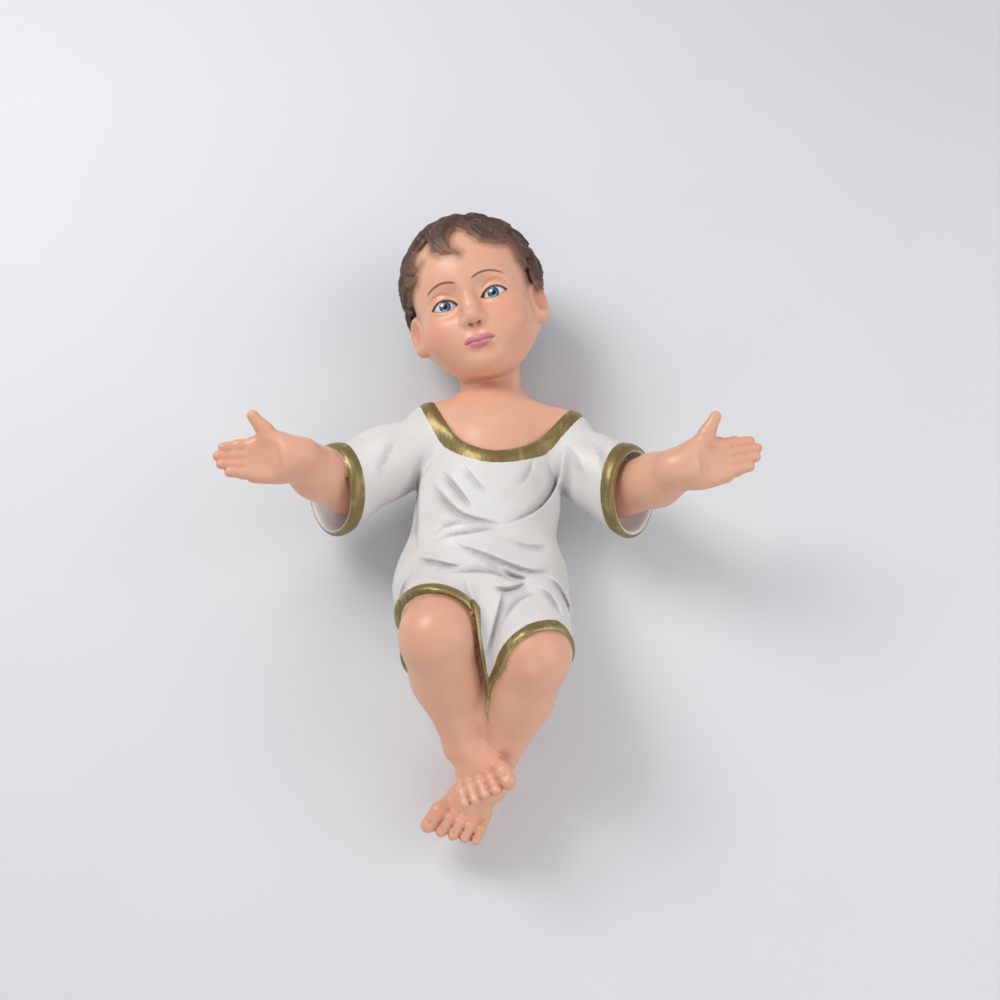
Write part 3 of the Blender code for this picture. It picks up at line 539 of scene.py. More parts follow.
# hand: x along the fingers, y to the thumb, z out of the palm
def hand(c, wrist, out, palm):
    wrist = np.array(wrist, float)
    if not c.near(wrist + 18 * unit(out), 32):
        return FAR
    f = unit(out)
    s = unit(np.cross(palm, f))
    s = s if s[1] > 0 else -s
    n = unit(np.cross(f, s))
    n = n if n[2] > 0 else -n
    h = c.seen_from(wrist, [f, s, n])
    d = cut(built(h, PALM), ellipsoid(h, *PALM_HOLLOW), 6)
    for line in PALM_LINES:
        d = cut(d, limb(h, line, [0.35, 0.6, 0.3]), 0.9)
    for k, length in enumerate(FINGERS):
        base = np.array([17.0 - 0.7 * abs(k - 1.2), 7.3 - FINGER_PITCH * k, -0.6])
        tip = base + np.array([length, -0.8 * (1.5 - k), 0.8 + 0.3 * k])
        middle = (base + tip) / 2 + np.array([0, 0, -0.8])
        finger = limb(h, [base, middle, tip], [3.0, 2.85, 2.5], k=2)
        if not np.isscalar(finger):
            along = (h.p - base) @ unit(tip - base) / length
            finger = finger + FINGER_JOINT * sum(bump((along - at) * length / 1.1) for at in JOINTS_AT)
            nail = ellipsoid(h, tip + np.array([0.4, 0, -2.5]), (2.2, 1.5, 0.6))
            finger = cut(finger, nail, 0.3)
        d = join(d, finger, 0.5)
    thumb = limb(h, THUMB, THUMB_RADII, k=2.5)
    if not np.isscalar(thumb):
        thumb = thumb + 0.3 * bump((h.p @ unit((5, 6.5, 1)) - 19.5) / 1.2)
    return join(d, thumb, 2.2)


def leg(c, hip, knee, calf, ankle):
    d = limb(c, [hip, knee], [20.5, 16.0])
    return join(d, limb(c, [knee, calf, ankle], [15.6, 15.0, 9.6], k=8), 7)


# foot: x to the toes, y to the big toe, z out of the instep
def foot(c, ankle, out, sole, big, slant, curl_down):
    ankle = np.array(ankle, float)
    if not c.near(ankle, 44):
        return FAR
    f = unit(out)
    down = unit(np.array(sole) - f * (np.array(sole) @ f))
    s = np.cross(f, down)
    s = s if s[0] * big > 0 else -s
    h = c.seen_from(ankle, [f, s, -down])
    d = built(h, SOLE)
    y = BIG_TOE_Y
    for k, (r, reach) in enumerate(TOES):
        reach += slant * y
        base = np.array([12.0 - 0.9 * k, y * 0.85, -6.8 - 0.6 * k])
        knuckle = np.array([(base[0] + reach) / 2 + 2, y, -5.4 - 0.6 * k])
        tip = np.array([reach, y - 0.25 * k, -6.4 - curl_down - 0.3 * k])
        toe = limb(h, [base, knuckle, tip], [r * 0.8, r * 0.95, r], k=1.5)
        if not np.isscalar(toe):
            nail = ellipsoid(h, tip + np.array([0.9, 0, r + 0.2]), (r * 0.7, r * 0.62, 0.65))
            toe = cut(toe, nail, 0.3)
            toe = toe + TOE_JOINT * bump(h.p[:, 0] - reach + 1.6 * r)
        d = join(d, toe, 0.7)
        y -= r + (TOES[k + 1][0] if k < 4 else 0) - 0.3
    return d


def web(c):
    """Plaster left between the legs, under the tunic's tongue."""
    return join(limb(c, WEB, WEB_RADII, k=8), limb(c, WEB_TOP, [9, 8.5, 5], k=6), 4)


def sleeve(c, spine, at, out):
    d = limb(c, spine, SLEEVE_RADII, k=8)
    if np.isscalar(d):
        return d
    rim = plane(c, at, out)
    band = GOLD_RISE * bump((rim + GOLD_CUFF / 2) / (GOLD_CUFF / 2 + 1.2))
    d = within(d - band, rim, 2.4)
    hollow = limb(c, spine, [r - CUFF_WALL for r in SLEEVE_RADII], k=8)
    return cut(d, within(hollow, -CUFF_DEEP - rim, 6), 1.6)


def hem(c):
    """Negative where the skirt may be: up to a tilted plane and down a tongue between the knees."""
    x, y = c.p[:, 0], c.p[:, 1]
    height = y * sind(HEM_TILT) + (c.p[:, 2] - 40) * cosd(HEM_TILT)
    q = Cloud(np.stack([x, height, 0 * x], 1))
    right, left = (limb(q, line, radii, margin=1e9) for line, radii in (BARE_RIGHT, BARE_LEFT))
    narrow = 1 + 1.5 * np.clip((-46 - height) / 14, 0, 1)
    tongue = np.maximum.reduce([-right * narrow, -left * 1.25, -18 - 0.2 * (y + 90) - x, x - 60])
    return join(plane(c, HEM_AT, HEM_OUT), tongue, 3)


def skirt(c):
    d = limb(c, [LEG_RIGHT["hip"], LEG_RIGHT["knee"]], [22.5, 19.2])
    d = join(d, limb(c, [LEG_LEFT["hip"], LEG_LEFT["knee"]], [22.5, 18.4]), 7)
    d = join(d, limb(c, SKIRT_SIDE, SKIRT_SIDE_RADII), 8)
    return join(d, limb(c, TONGUE, TONGUE_RADII, k=6), 9)


def rounded(points, n=4):
    """A rounded curve through the points."""
    p = np.asarray(points, float)
    e = np.concatenate([[2 * p[0] - p[1]], p, [2 * p[-1] - p[-2]]])
    out = []
    for a, b, c, d in zip(e[:-3], e[1:-2], e[2:-1], e[3:]):
        for t in (k / n for k in range(n)):
            bend = (2 * a - 5 * b + 4 * c - d) * t ** 2 + (3 * b - a - 3 * c + d) * t ** 3
            out.append(b + 0.5 * ((c - a) * t + bend))
    out.append(p[-1])
    return np.array(out)


def beside(q, points):
    """Signed distance from a plane curve, positive on its left, and the share of it passed."""
    lengths = np.linalg.norm(np.diff(points, axis=0), axis=1)
    start = np.concatenate([[0], np.cumsum(lengths)])
    best, sign, along = np.full(len(q), 1e9), np.ones(len(q)), np.zeros(len(q))
    for k, (a, b) in enumerate(zip(points[:-1], points[1:])):
        ab, off = b - a, q - a
        t = np.clip((off @ ab) / (ab @ ab), 0, 1)
        e = np.linalg.norm(off - t[:, None] * ab, axis=1)
        closer = e < best
        best[closer] = e[closer]
        sign[closer] = np.sign(ab[0] * off[:, 1] - ab[1] * off[:, 0])[closer]
        along[closer] = (start[k] + t * lengths[k])[closer]
    return best * sign, along / start[-1]


NECK_CURVE = rounded(NECKLINE)


def neckline(c):
    """Positive inside the neck opening."""
    if c.centre[1] + c.reach < 0:
        return np.full(len(c.p), -FAR)
    return beside(c.p[:, :2], NECK_CURVE)[0]


FOLD_CURVES = [(rounded(fold[0]),) + fold[1:] for fold in FOLDS]


def folds_near(c):
    """Each fold in reach: distance to its roll's side, share passed, rise from its lowest z, sizes."""
    for points, width, height, depth, low in FOLD_CURVES:
        centre = points.mean(0)
        reach = np.linalg.norm(points - centre, axis=1).max() + FOLD_REACH
        if np.linalg.norm(c.centre[:2] - centre) - c.reach > reach:
            continue
        d, t = beside(c.p[:, :2], points)
        yield d * np.sign(width), t, np.clip((c.p[:, 2] - low) / 8, 0, 1), abs(width), height, depth


def folds(c):
    """How far the cloth stands out over the plain form."""
    total = np.zeros(len(c.p))
    for d, t, rise, width, height, depth in folds_near(c):
        ends = np.clip(3.5 * t, 0, 1) * np.clip(3.5 * (1 - t), 0, 1)
        ends = ends * (2 - ends) * rise
        roll = height * np.clip(1 - d / width, 0, 1) ** 2 * np.clip(d / 1.1 + 0.5, 0, 1)
        groove = FOLD * depth * bump(d / 1.6) + CREASE * bump(d / 0.9)
        total += (FOLD * roll - groove) * ends
    return total


def tunic(c):
    d = join(trunk(c), skirt(c), 12)
    if not np.isscalar(d):
        inside = hem(c)
        band = GOLD_RISE * bump((inside + GOLD_HEM / 2) / (GOLD_HEM / 2 + 1.0))
        d = within(d - folds(c) - band, inside, 1.6)
    for spine, cuff in ((SLEEVE_RIGHT, CUFF_RIGHT), (SLEEVE_LEFT, CUFF_LEFT)):
        d = join(d, sleeve(c, spine, **cuff), 4)
    if not np.isscalar(d):
        opening = neckline(c)
        band = GOLD_RISE * bump((opening + GOLD_NECK / 2) / (GOLD_NECK / 2 + 1.0))
        d = cut(d - band * np.clip((c.p[:, 2] - 3) / 6, 0, 1), -opening, 1.4)
    return d


def full(d, c):
    """A distance for every point, also where the shape is out of reach."""
    return np.full(len(c.p), FAR) if np.isscalar(d) else d


def with_limbs(c, d):
    for points, palm in ((ARM_RIGHT, HAND_RIGHT), (ARM_LEFT, HAND_LEFT)):
        d = join(d, join(limb(c, points, ARM_RADII, k=6), hand(c, **palm), 4), 2)
    for bones, sole in ((LEG_RIGHT, FOOT_RIGHT), (LEG_LEFT, FOOT_LEFT)):
        d = join(d, join(leg(c, **bones), foot(c, **sole), 4), 0.8)
    return join(d, web(c), 4)


def figure(c):
    d = with_limbs(c, join(head(c), neck(c), HEAD_TO_NECK))
    return full(join(d, tunic(c), 0.7), c)


# mesh
def lines(stops, coarser):
    """Grid lines through the stops, made up to a whole number of blocks."""
    out = [float(stops[0][0])]
    for (start, step), (end, _) in zip(stops[:-1], stops[1:]):
        while out[-1] < end:
            out.append(out[-1] + step * coarser)
    while (len(out) - 1) % BLOCK:
        out.append(out[-1] + stops[-1][1] * coarser)
    return np.array(out)


def sampled(field, axes):
    """The field on the grid lines, worked out in full only in the blocks near the surface."""
    counts = [(len(axis) - 1) // BLOCK for axis in axes]
    grid = np.full([len(axis) for axis in axes], FAR, np.float32)
    ends = [axis[::BLOCK] for axis in axes]
    middles = np.stack(np.meshgrid(*[(e[1:] + e[:-1]) / 2 for e in ends], indexing="ij"), -1)
    halves = np.stack(np.meshgrid(*[(e[1:] - e[:-1]) / 2 for e in ends], indexing="ij"), -1)
    reach = np.linalg.norm(halves, axis=-1) + 5
    coarse = field(Cloud(middles.reshape(-1, 3))).reshape(counts)
    for block in np.argwhere(coarse <= reach):
        spans = [slice(b * BLOCK, (b + 1) * BLOCK + 1) for b in block]
        if coarse[tuple(block)] < -reach[tuple(block)]:
            grid[tuple(spans)] = -FAR
            continue
        corners = np.meshgrid(*[axis[span] for axis, span in zip(axes, spans)], indexing="ij")
        value = field(Cloud(np.stack(corners, -1).reshape(-1, 3)))
        grid[tuple(spans)] = value.reshape((BLOCK + 1,) * 3)
    return grid


def surface(grid, axes):
    """One point in each cell the surface crosses, one face across each crossed edge."""
    inside = grid < 0
    counts = np.zeros(np.array(grid.shape) - 1, np.int8)
    corners = [(a, b, c) for a in (0, 1) for b in (0, 1) for c in (0, 1)]
    for a, b, c in corners:
        counts += inside[a:a + counts.shape[0], b:b + counts.shape[1], c:c + counts.shape[2]]
    active = (counts > 0) & (counts < 8)
    cells = np.argwhere(active)
    index = np.full(active.shape, -1, np.int32)
    index[active] = np.arange(len(cells))
    total, hits = np.zeros((len(cells), 3)), np.zeros(len(cells))
    for axis in range(3):
        for corner in corners:
            if corner[axis]:
                continue
            o = np.array(corner)
            e = o + np.eye(3, dtype=int)[axis]
            v0 = grid[tuple((cells + o).T)].astype(float)
            v1 = grid[tuple((cells + e).T)].astype(float)
            cross = (v0 < 0) != (v1 < 0)
            at = np.repeat(o[None].astype(float), len(cells), 0)
            at[:, axis] = np.where(cross, v0 / np.where(cross, v0 - v1, 1), 0)
            total += np.where(cross[:, None], at, 0)
            hits += cross
    points = cells + total / hits[:, None]
    for axis in range(3):
        points[:, axis] = np.interp(points[:, axis], np.arange(len(axes[axis])), axes[axis])
    faces = []
    for axis in range(3):
        u, v = [x for x in range(3) if x != axis]
        near = [slice(1, -1)] * 3
        near[axis] = slice(0, -1)
        far = list(near)
        far[axis] = slice(1, None)
        first, second = inside[tuple(near)], inside[tuple(far)]
        for leaving in (True, False):
            at = np.argwhere((first == leaving) & (second != leaving))
            at[:, [u, v]] += 1
            ring = []
            for du, dv in ((-1, -1), (0, -1), (0, 0), (-1, 0)):
                c = at.copy()
                c[:, u] += du
                c[:, v] += dv
                ring.append(index[tuple(c.T)])
            ring = np.stack(ring, 1)
            faces.append(ring if leaving ^ (axis == 1) else ring[:, ::-1])
    return points, np.concatenate(faces)


def bunches(points, size=12.0):
    """Index lists of points that lie close together."""
    key = np.floor((points - points.min(0)) / size).astype(np.int64) @ np.array([10 ** 6, 10 ** 3, 1])
    order = np.argsort(key, kind="stable")
    return np.split(order, np.flatnonzero(np.diff(key[order])) + 1)


def settled(field, points, eps=0.15):
    """Points moved onto the surface along the field's slope."""
    corners = np.array([[1, -1, -1], [-1, -1, 1], [-1, 1, -1], [1, 1, 1]], float)
    out = points.copy()
    for ids in bunches(points):
        d = field(Cloud(np.concatenate([points[ids] + eps * k for k in corners]))).reshape(4, -1)
        slope = np.einsum("kn,kx->nx", d, corners) / (4 * eps)
        move = -slope * (d.mean(0) / np.maximum((slope ** 2).sum(1), 0.1))[:, None]
        far = np.linalg.norm(move, axis=1, keepdims=True)
        out[ids] += move * np.minimum(1, 0.5 / np.maximum(far, 1e-9))
    return out


def largest_shell(bm):
    """Keep the biggest connected shell only."""
    left, shells = set(bm.verts), []
    while left:
        stack = [left.pop()]
        shell = list(stack)
        while stack:
            for edge in stack.pop().link_edges:
                for v in edge.verts:
                    if v in left:
                        left.remove(v)
                        stack.append(v)
                        shell.append(v)
        shells.append(shell)
    shells.sort(key=len)
    loose = [v for shell in shells[:-1] for v in shell]
    bmesh.ops.delete(bm, geom=loose, context="VERTS")


def cast(coarser, triangles):
    """The carved mesh in millimetres, thinned and cut flat where it rests."""
    axes = [lines(stops, coarser) for stops in (LINES_X, LINES_Y, LINES_Z)]
    points, faces = surface(sampled(figure, axes), axes)
    points = settled(figure, points)
    mesh = bpy.data.meshes.new("carved")
    mesh.from_pydata(points.tolist(), [], faces.tolist())
    body = bpy.data.objects.new("carved", mesh)
    bpy.context.scene.collection.objects.link(body)
    thin = body.modifiers.new("thin", "DECIMATE")
    thin.ratio = min(1.0, triangles / (2 * len(faces)))
    bpy.context.view_layer.update()
    evaluated = body.evaluated_get(bpy.context.evaluated_depsgraph_get())
    thinned = bpy.data.meshes.new_from_object(evaluated)
    bpy.data.objects.remove(body)
    bpy.data.meshes.remove(mesh)
    bm = bmesh.new()
    bm.from_mesh(thinned)
    largest_shell(bm)
    everything = bm.verts[:] + bm.edges[:] + bm.faces[:]
    floor = dict(plane_co=(0, 0, 0), plane_no=(0, 0, -1))
    bmesh.ops.bisect_plane(bm, geom=everything, clear_outer=True, **floor)
    rim = [edge for edge in bm.edges if edge.is_boundary]
    bmesh.ops.holes_fill(bm, edges=rim, sides=0)
    bmesh.ops.triangulate(bm, faces=bm.faces[:])
    bmesh.ops.recalc_face_normals(bm, faces=bm.faces[:])
    bm.to_mesh(thinned)
    bm.free()
    return thinned


# paint
def skin(c):
    """The bare figure under its hair and tunic."""
    d = with_limbs(c, neck(c))
    if not c.near(HEAD_AT, HEAD_REACH):
        return d
    h = c.seen_from(HEAD_AT, HEAD_AXES)
    return with_ears(h, join(d, face(h), HEAD_TO_NECK))


def gilding(c):
    """Depth into the gold borders."""
    y, z = c.p[:, 1], c.p[:, 2]
    neck_band = np.minimum.reduce([neckline(c) + GOLD_NECK, y])
    outer = full(join(trunk(c), skirt(c), 12), c)
    width = GOLD_HEM * np.clip((z - 18) / 34, 0.25, 1)
    hem_band = np.minimum.reduce([hem(c) + width, 3 - hem(c), -40 - y, outer + 2.4])
    depth = np.maximum(neck_band, hem_band)
    for spine, cuff in ((SLEEVE_RIGHT, CUFF_RIGHT), (SLEEVE_LEFT, CUFF_LEFT)):
        outer = full(limb(c, spine, SLEEVE_RADII, k=8), c)
        rim = plane(c, cuff["at"], cuff["out"])
        band = np.minimum.reduce([rim + GOLD_CUFF, outer + 1.8, 6 - outer])
        depth = np.maximum(depth, band)
    return depth


# sprayed pink: place, reach, strength; cheeks, nose, chin and ears on the head's own axes, then knees
FACE_PINK = (
    ((-18.5, -16, 22), 10, 1.0),
    ((18.5, -16, 22), 10, 1.0),
    ((0, -15, 37), 4, 0.45),
    ((0, -36, 26), 6, 0.4),
    ((-33, -8, -2), 9, 0.5),
    ((33, -8, -2), 9, 0.5),
)
KNEE_PINK = (((-22, -86, 90), 15, 0.35), ((22, -93, 84), 15, 0.35))


def sprayed(p, spots):
    fades = [strength * np.exp(-((p - at) ** 2).sum(1) / reach ** 2) for at, reach, strength in spots]
    return sum(fades)


def blush(c, h):
    """Where the pink is sprayed, finger ends and toes included."""
    amount = sprayed(h.p, FACE_PINK) + sprayed(c.p, KNEE_PINK)
    for palm in (HAND_RIGHT, HAND_LEFT):
        amount += sprayed(c.p, [(palm["wrist"] + 34 * unit(palm["out"]), 14, 0.55)])
    for sole in (FOOT_RIGHT, FOOT_LEFT):
        amount += sprayed(c.p, [(sole["ankle"] + 30 * unit(sole["out"]), 14, 0.5)])
    return np.clip(amount, 0, 1)


def creases(c):
    """How far down in a fold of the cloth each point lies, 0 to 1."""
    most = np.zeros(len(c.p))
    for d, t, rise, _, _, depth in folds_near(c):
        ends = np.clip(3 * t, 0, 1) * np.clip(3 * (1 - t), 0, 1) * rise
        # the painted shade of a fold reaches 6 mm down its low side and 1.6 mm up its roll
        lee = bump(np.where(d < 0, d / 6.0, d / 1.6))
        most = np.maximum(most, lee * ends * min(1, 0.45 + 0.4 * depth))
    return most


def scalp(c, h):
    """How far back from the hairline a point of the head lies, away from the ears."""
    behind = -before_hairline(h)
    ears = np.minimum(full(ear(h, -1), c), full(ear(h, 1), c))
    inside = full(ellipsoid(h, HAIR_AT, HAIR + 0.5), c)
    return np.minimum.reduce([0.5 * behind - 0.8, ears - 2.5, -2 * inside])


def bodice(c):
    """Positive on the trunk outside the neck opening, which is cloth all over."""
    x, y = c.p[:, 0], c.p[:, 1]
    return np.minimum.reduce([-neckline(c) - 0.3, 48 - np.abs(x - 4), y, 62 - y])


# what every point carries, and how far off the surface its hollows and ridges are felt for
COATS = ("cloth", "locks", "gilt", "blush", "crease", "hollow", "deep", "ridge")
# hollow and deep set where painted shade goes on skin, hair and cloth, and where the gilding is darker; ridge
# sets where painted highlights go
PROBES = (("hollow", 1.6), ("deep", 6.0), ("ridge", -1.2))
DEEPEST = 8


def coats(points, normals):
    """What lies at each point, by attribute name."""
    out = {name: np.zeros(len(points)) for name in COATS}
    out["on_head"] = (points - HEAD_AT) @ HEAD_AXES.T
    for ids in bunches(points):
        c = Cloud(points[ids])
        h = c.seen_from(HEAD_AT, HEAD_AXES)
        flesh, dress, locks = full(skin(c), c), full(tunic(c), c), full(hair(h), c)
        out["cloth"][ids] = np.maximum(np.minimum(flesh, locks) - dress, np.minimum(bodice(c), 1))
        out["locks"][ids] = np.maximum(np.minimum(flesh, dress) - locks, scalp(c, h))
        out["gilt"][ids] = gilding(c)
        out["blush"][ids] = blush(c, h)
        out["crease"][ids] = creases(c)
        for name, way in PROBES:
            d = figure(Cloud(points[ids] + way * normals[ids]))
            out[name][ids] = np.clip(1 - d / way, 0, 1)
    for name in ("cloth", "locks", "gilt"):
        out[name] = np.clip(out[name], -DEEPEST, DEEPEST)
    return out


def shade(red, green, blue):
    """A picture colour, 0 to 255, as a linear one."""
    parts = [v / 255 for v in (red, green, blue)]
    return tuple(v / 12.92 if v <= 0.04045 else ((v + 0.055) / 1.055) ** 2.4 for v in parts)


# material
def feed(tree, place, value):
    """Link an input to a number or a socket, or set it to a plain value or colour."""
    value = value.socket if isinstance(value, Number) else value
    if isinstance(value, bpy.types.NodeSocket):
        tree.links.new(value, place)
    else:
        place.default_value = value if np.isscalar(value) else (*value, 1)


class Number:
    """A socket that can be reckoned with: each sum makes its node."""

    def __init__(self, tree, socket):
        self.tree, self.socket = tree, socket

    def made(self, operation, *others):
        node = self.tree.nodes.new("ShaderNodeMath")
        node.operation = operation
        for place, value in zip(node.inputs, (self,) + others):
            feed(self.tree, place, value)
        return Number(self.tree, node.outputs[0])

    def __add__(self, other):
        return self.made("ADD", other)

    def __sub__(self, other):
        return self.made("SUBTRACT", other)

    def __mul__(self, other):
        return self.made("MULTIPLY", other)

    def __neg__(self):
        return self * -1.0

    def size(self):
        return self.made("ABSOLUTE")

    def least(self, other):
        return self.made("MINIMUM", other)

    def most(self, other):
        return self.made("MAXIMUM", other)

    def root(self):
        return self.made("SQRT")

    def short_of(self, start, end):
        """1 up to start, 0 from end."""
        return (-self).past(-end, -start)

    def past(self, start, end):
        """0 up to start, 1 from end, a soft step between."""
        node = self.tree.nodes.new("ShaderNodeMapRange")
        node.interpolation_type = "SMOOTHSTEP"
        self.tree.links.new(self.socket, node.inputs["Value"])
        node.inputs["From Min"].default_value = start
        node.inputs["From Max"].default_value = end
        return Number(self.tree, node.outputs["Result"])


def far_from(x, y, at_x, at_y):
    u, v = x - at_x, y - at_y
    return (u * u + v * v).root()


class Recipe:
    """One material and the short calls that build it."""

    def __init__(self, name):
        self.material = bpy.data.materials.new(name)
        self.material.use_nodes = True
        self.tree = self.material.node_tree
        self.shader = self.tree.nodes["Principled BSDF"]

    def felt(self, name):
        """A stored attribute as a number."""
        node = self.tree.nodes.new("ShaderNodeAttribute")
        node.attribute_name = name
        return Number(self.tree, node.outputs["Fac"])

    def placed(self, name):
        """The three numbers of a stored vector."""
        node = self.tree.nodes.new("ShaderNodeAttribute")
        node.attribute_name = name
        split = self.tree.nodes.new("ShaderNodeSeparateXYZ")
        self.tree.links.new(node.outputs["Vector"], split.inputs[0])
        return [Number(self.tree, socket) for socket in split.outputs]

    def grain(self, scale, detail=2.0, stretch=(1, 1, 1)):
        """Noise from 0 to 1 in the figure's own space; scale is in features a metre."""
        where = self.tree.nodes.new("ShaderNodeTexCoord")
        turn = self.tree.nodes.new("ShaderNodeMapping")
        turn.inputs["Scale"].default_value = stretch
        noise = self.tree.nodes.new("ShaderNodeTexNoise")
        noise.inputs["Scale"].default_value = scale
        noise.inputs["Detail"].default_value = detail
        self.tree.links.new(where.outputs["Object"], turn.inputs["Vector"])
        self.tree.links.new(turn.outputs["Vector"], noise.inputs["Vector"])
        return Number(self.tree, noise.outputs["Fac"])

    def mixed(self, kind, first, *values):
        """A mix node and its share, under and cover; first is where its kind's inputs start."""
        node = self.tree.nodes.new("ShaderNodeMix")
        node.data_type = kind
        for place, value in zip((0, first, first + 1), values):
            feed(self.tree, node.inputs[place], value)
        return node

    def over(self, under, cover, share):
        """One colour laid over another by a share."""
        return self.mixed("RGBA", 6, share, under, cover).outputs[2]

    def layers(self, under, *covers):
        """Colours laid over one another, each with its share."""
        for cover, share in covers:
            under = self.over(under, cover, share)
        return under

    def level(self, under, cover, share):
        """One number laid over another by a share."""
        return Number(self.tree, self.mixed("FLOAT", 2, share, under, cover).outputs[0])

    def relief(self, height, depth):
        """Fine relief from a number, its full height in metres."""
        node = self.tree.nodes.new("ShaderNodeBump")
        node.inputs["Distance"].default_value = depth
        self.tree.links.new(height.socket, node.inputs["Height"])
        self.tree.links.new(node.outputs["Normal"], self.shader.inputs["Normal"])


# how metallic the border paint is, and the height of the brush marks in metres
GOLD_METALLIC, BRUSH_RELIEF = 0.6, 0.00009

# painted eyes, on the face's own x and y: radii, the softness of an edge, the brow's rise and bend
IRIS, PUPIL, LIGHT, EDGE = 3.0, 1.4, 0.55, 0.15
BROW_RISE, BROW_BEND = 11.6, 0.036


def painted_eyes(recipe, flesh, gloss, paint, x, y, z):
    """Whites, irises, pupils, lights, lid lines and brows."""
    front = z.past(19.0, 20.5)
    across = x.size() - EYE_X
    slanted = y - EYE_Y - across * LID_SLANT
    above = far_from(across, slanted, 0, -LID_UP_AT) - LID_UP
    below = far_from(across, slanted, 0, LID_LOW_AT) - LID_LOW
    edge = above.most(below)
    iris = far_from(x.size(), y, EYE_X - 0.2, EYE_Y + 0.35)
    light = far_from(x, y, EYE_X - 1.2, EYE_Y + 1.5).least(far_from(x, y, -EYE_X - 1.2, EYE_Y + 1.5))
    disc = recipe.layers(
        paint.iris,
        (paint.iris_rim, iris.past(1.9, 2.8)),
        # painted light: the iris lighter towards its lower part, as if lit through the eye
        (paint.iris_light, (-y + EYE_Y).past(-0.4, 1.8) * iris.short_of(1.5, 2.3) * 0.55),
    )
    eye = recipe.layers(
        paint.white,
        # painted shade on the eye white towards the lids
        (paint.eye_white_shade, edge.past(-2.4, -0.2)),
        (disc, iris.short_of(IRIS - EDGE, IRIS + EDGE)),
        (paint.pupil, iris.short_of(PUPIL - EDGE, PUPIL + EDGE)),
        # painted shadow of the upper lid on the eye, in the lid line's colour
        (paint.lid_line_and_shadow, (-above).past(1.3, 0.1) * 0.45),
        (paint.eye_light, light.short_of(LIGHT - 0.13, LIGHT + 0.13)),
    )
    open_eye = edge.short_of(-0.15, 0.25) * front
    upper = above.size().short_of(0.30, 0.62) * below.short_of(0.0, 0.9) * front
    lower = below.size().short_of(0.15, 0.45) * above.short_of(-0.8, 0.2) * front
    arch = across + 0.8
    middle = -(arch * arch) * BROW_BEND + (EYE_Y + BROW_RISE)
    brow = (y - middle).size().short_of(0.35, 0.8) * arch.size().short_of(6.0, 9.2) * front
    flesh = recipe.layers(
        flesh,
        (eye, open_eye),
        (paint.lid_line_and_shadow, upper * 0.92),
        (paint.lower_line, lower * 0.55),
        (paint.brow, brow * 0.85),
    )
    return flesh, recipe.level(gloss, 0.08, open_eye)


def painted_lips(recipe, flesh, paint, x, y, z):
    """The lips between two arcs, and the line between them."""
    front = z.past(25.0, 27.0)
    wide = x * x
    notch = x.size().short_of(0.0, 2.6) * 0.75
    top = -(wide * 0.040) + -24.0 - notch
    foot = wide * 0.060 + -31.3
    inside = (top - y).least(y - foot)
    seam = (y + 27.75 + wide * -0.004).size()
    mouth = inside.past(-0.35, 0.55) * front * x.size().short_of(7.4, 8.6)
    line = seam.short_of(0.1, 0.55) * x.size().short_of(6.8, 8.2) * front
    return recipe.layers(flesh, (paint.lips, mouth * 0.82), (paint.lip_line, line * 0.7))


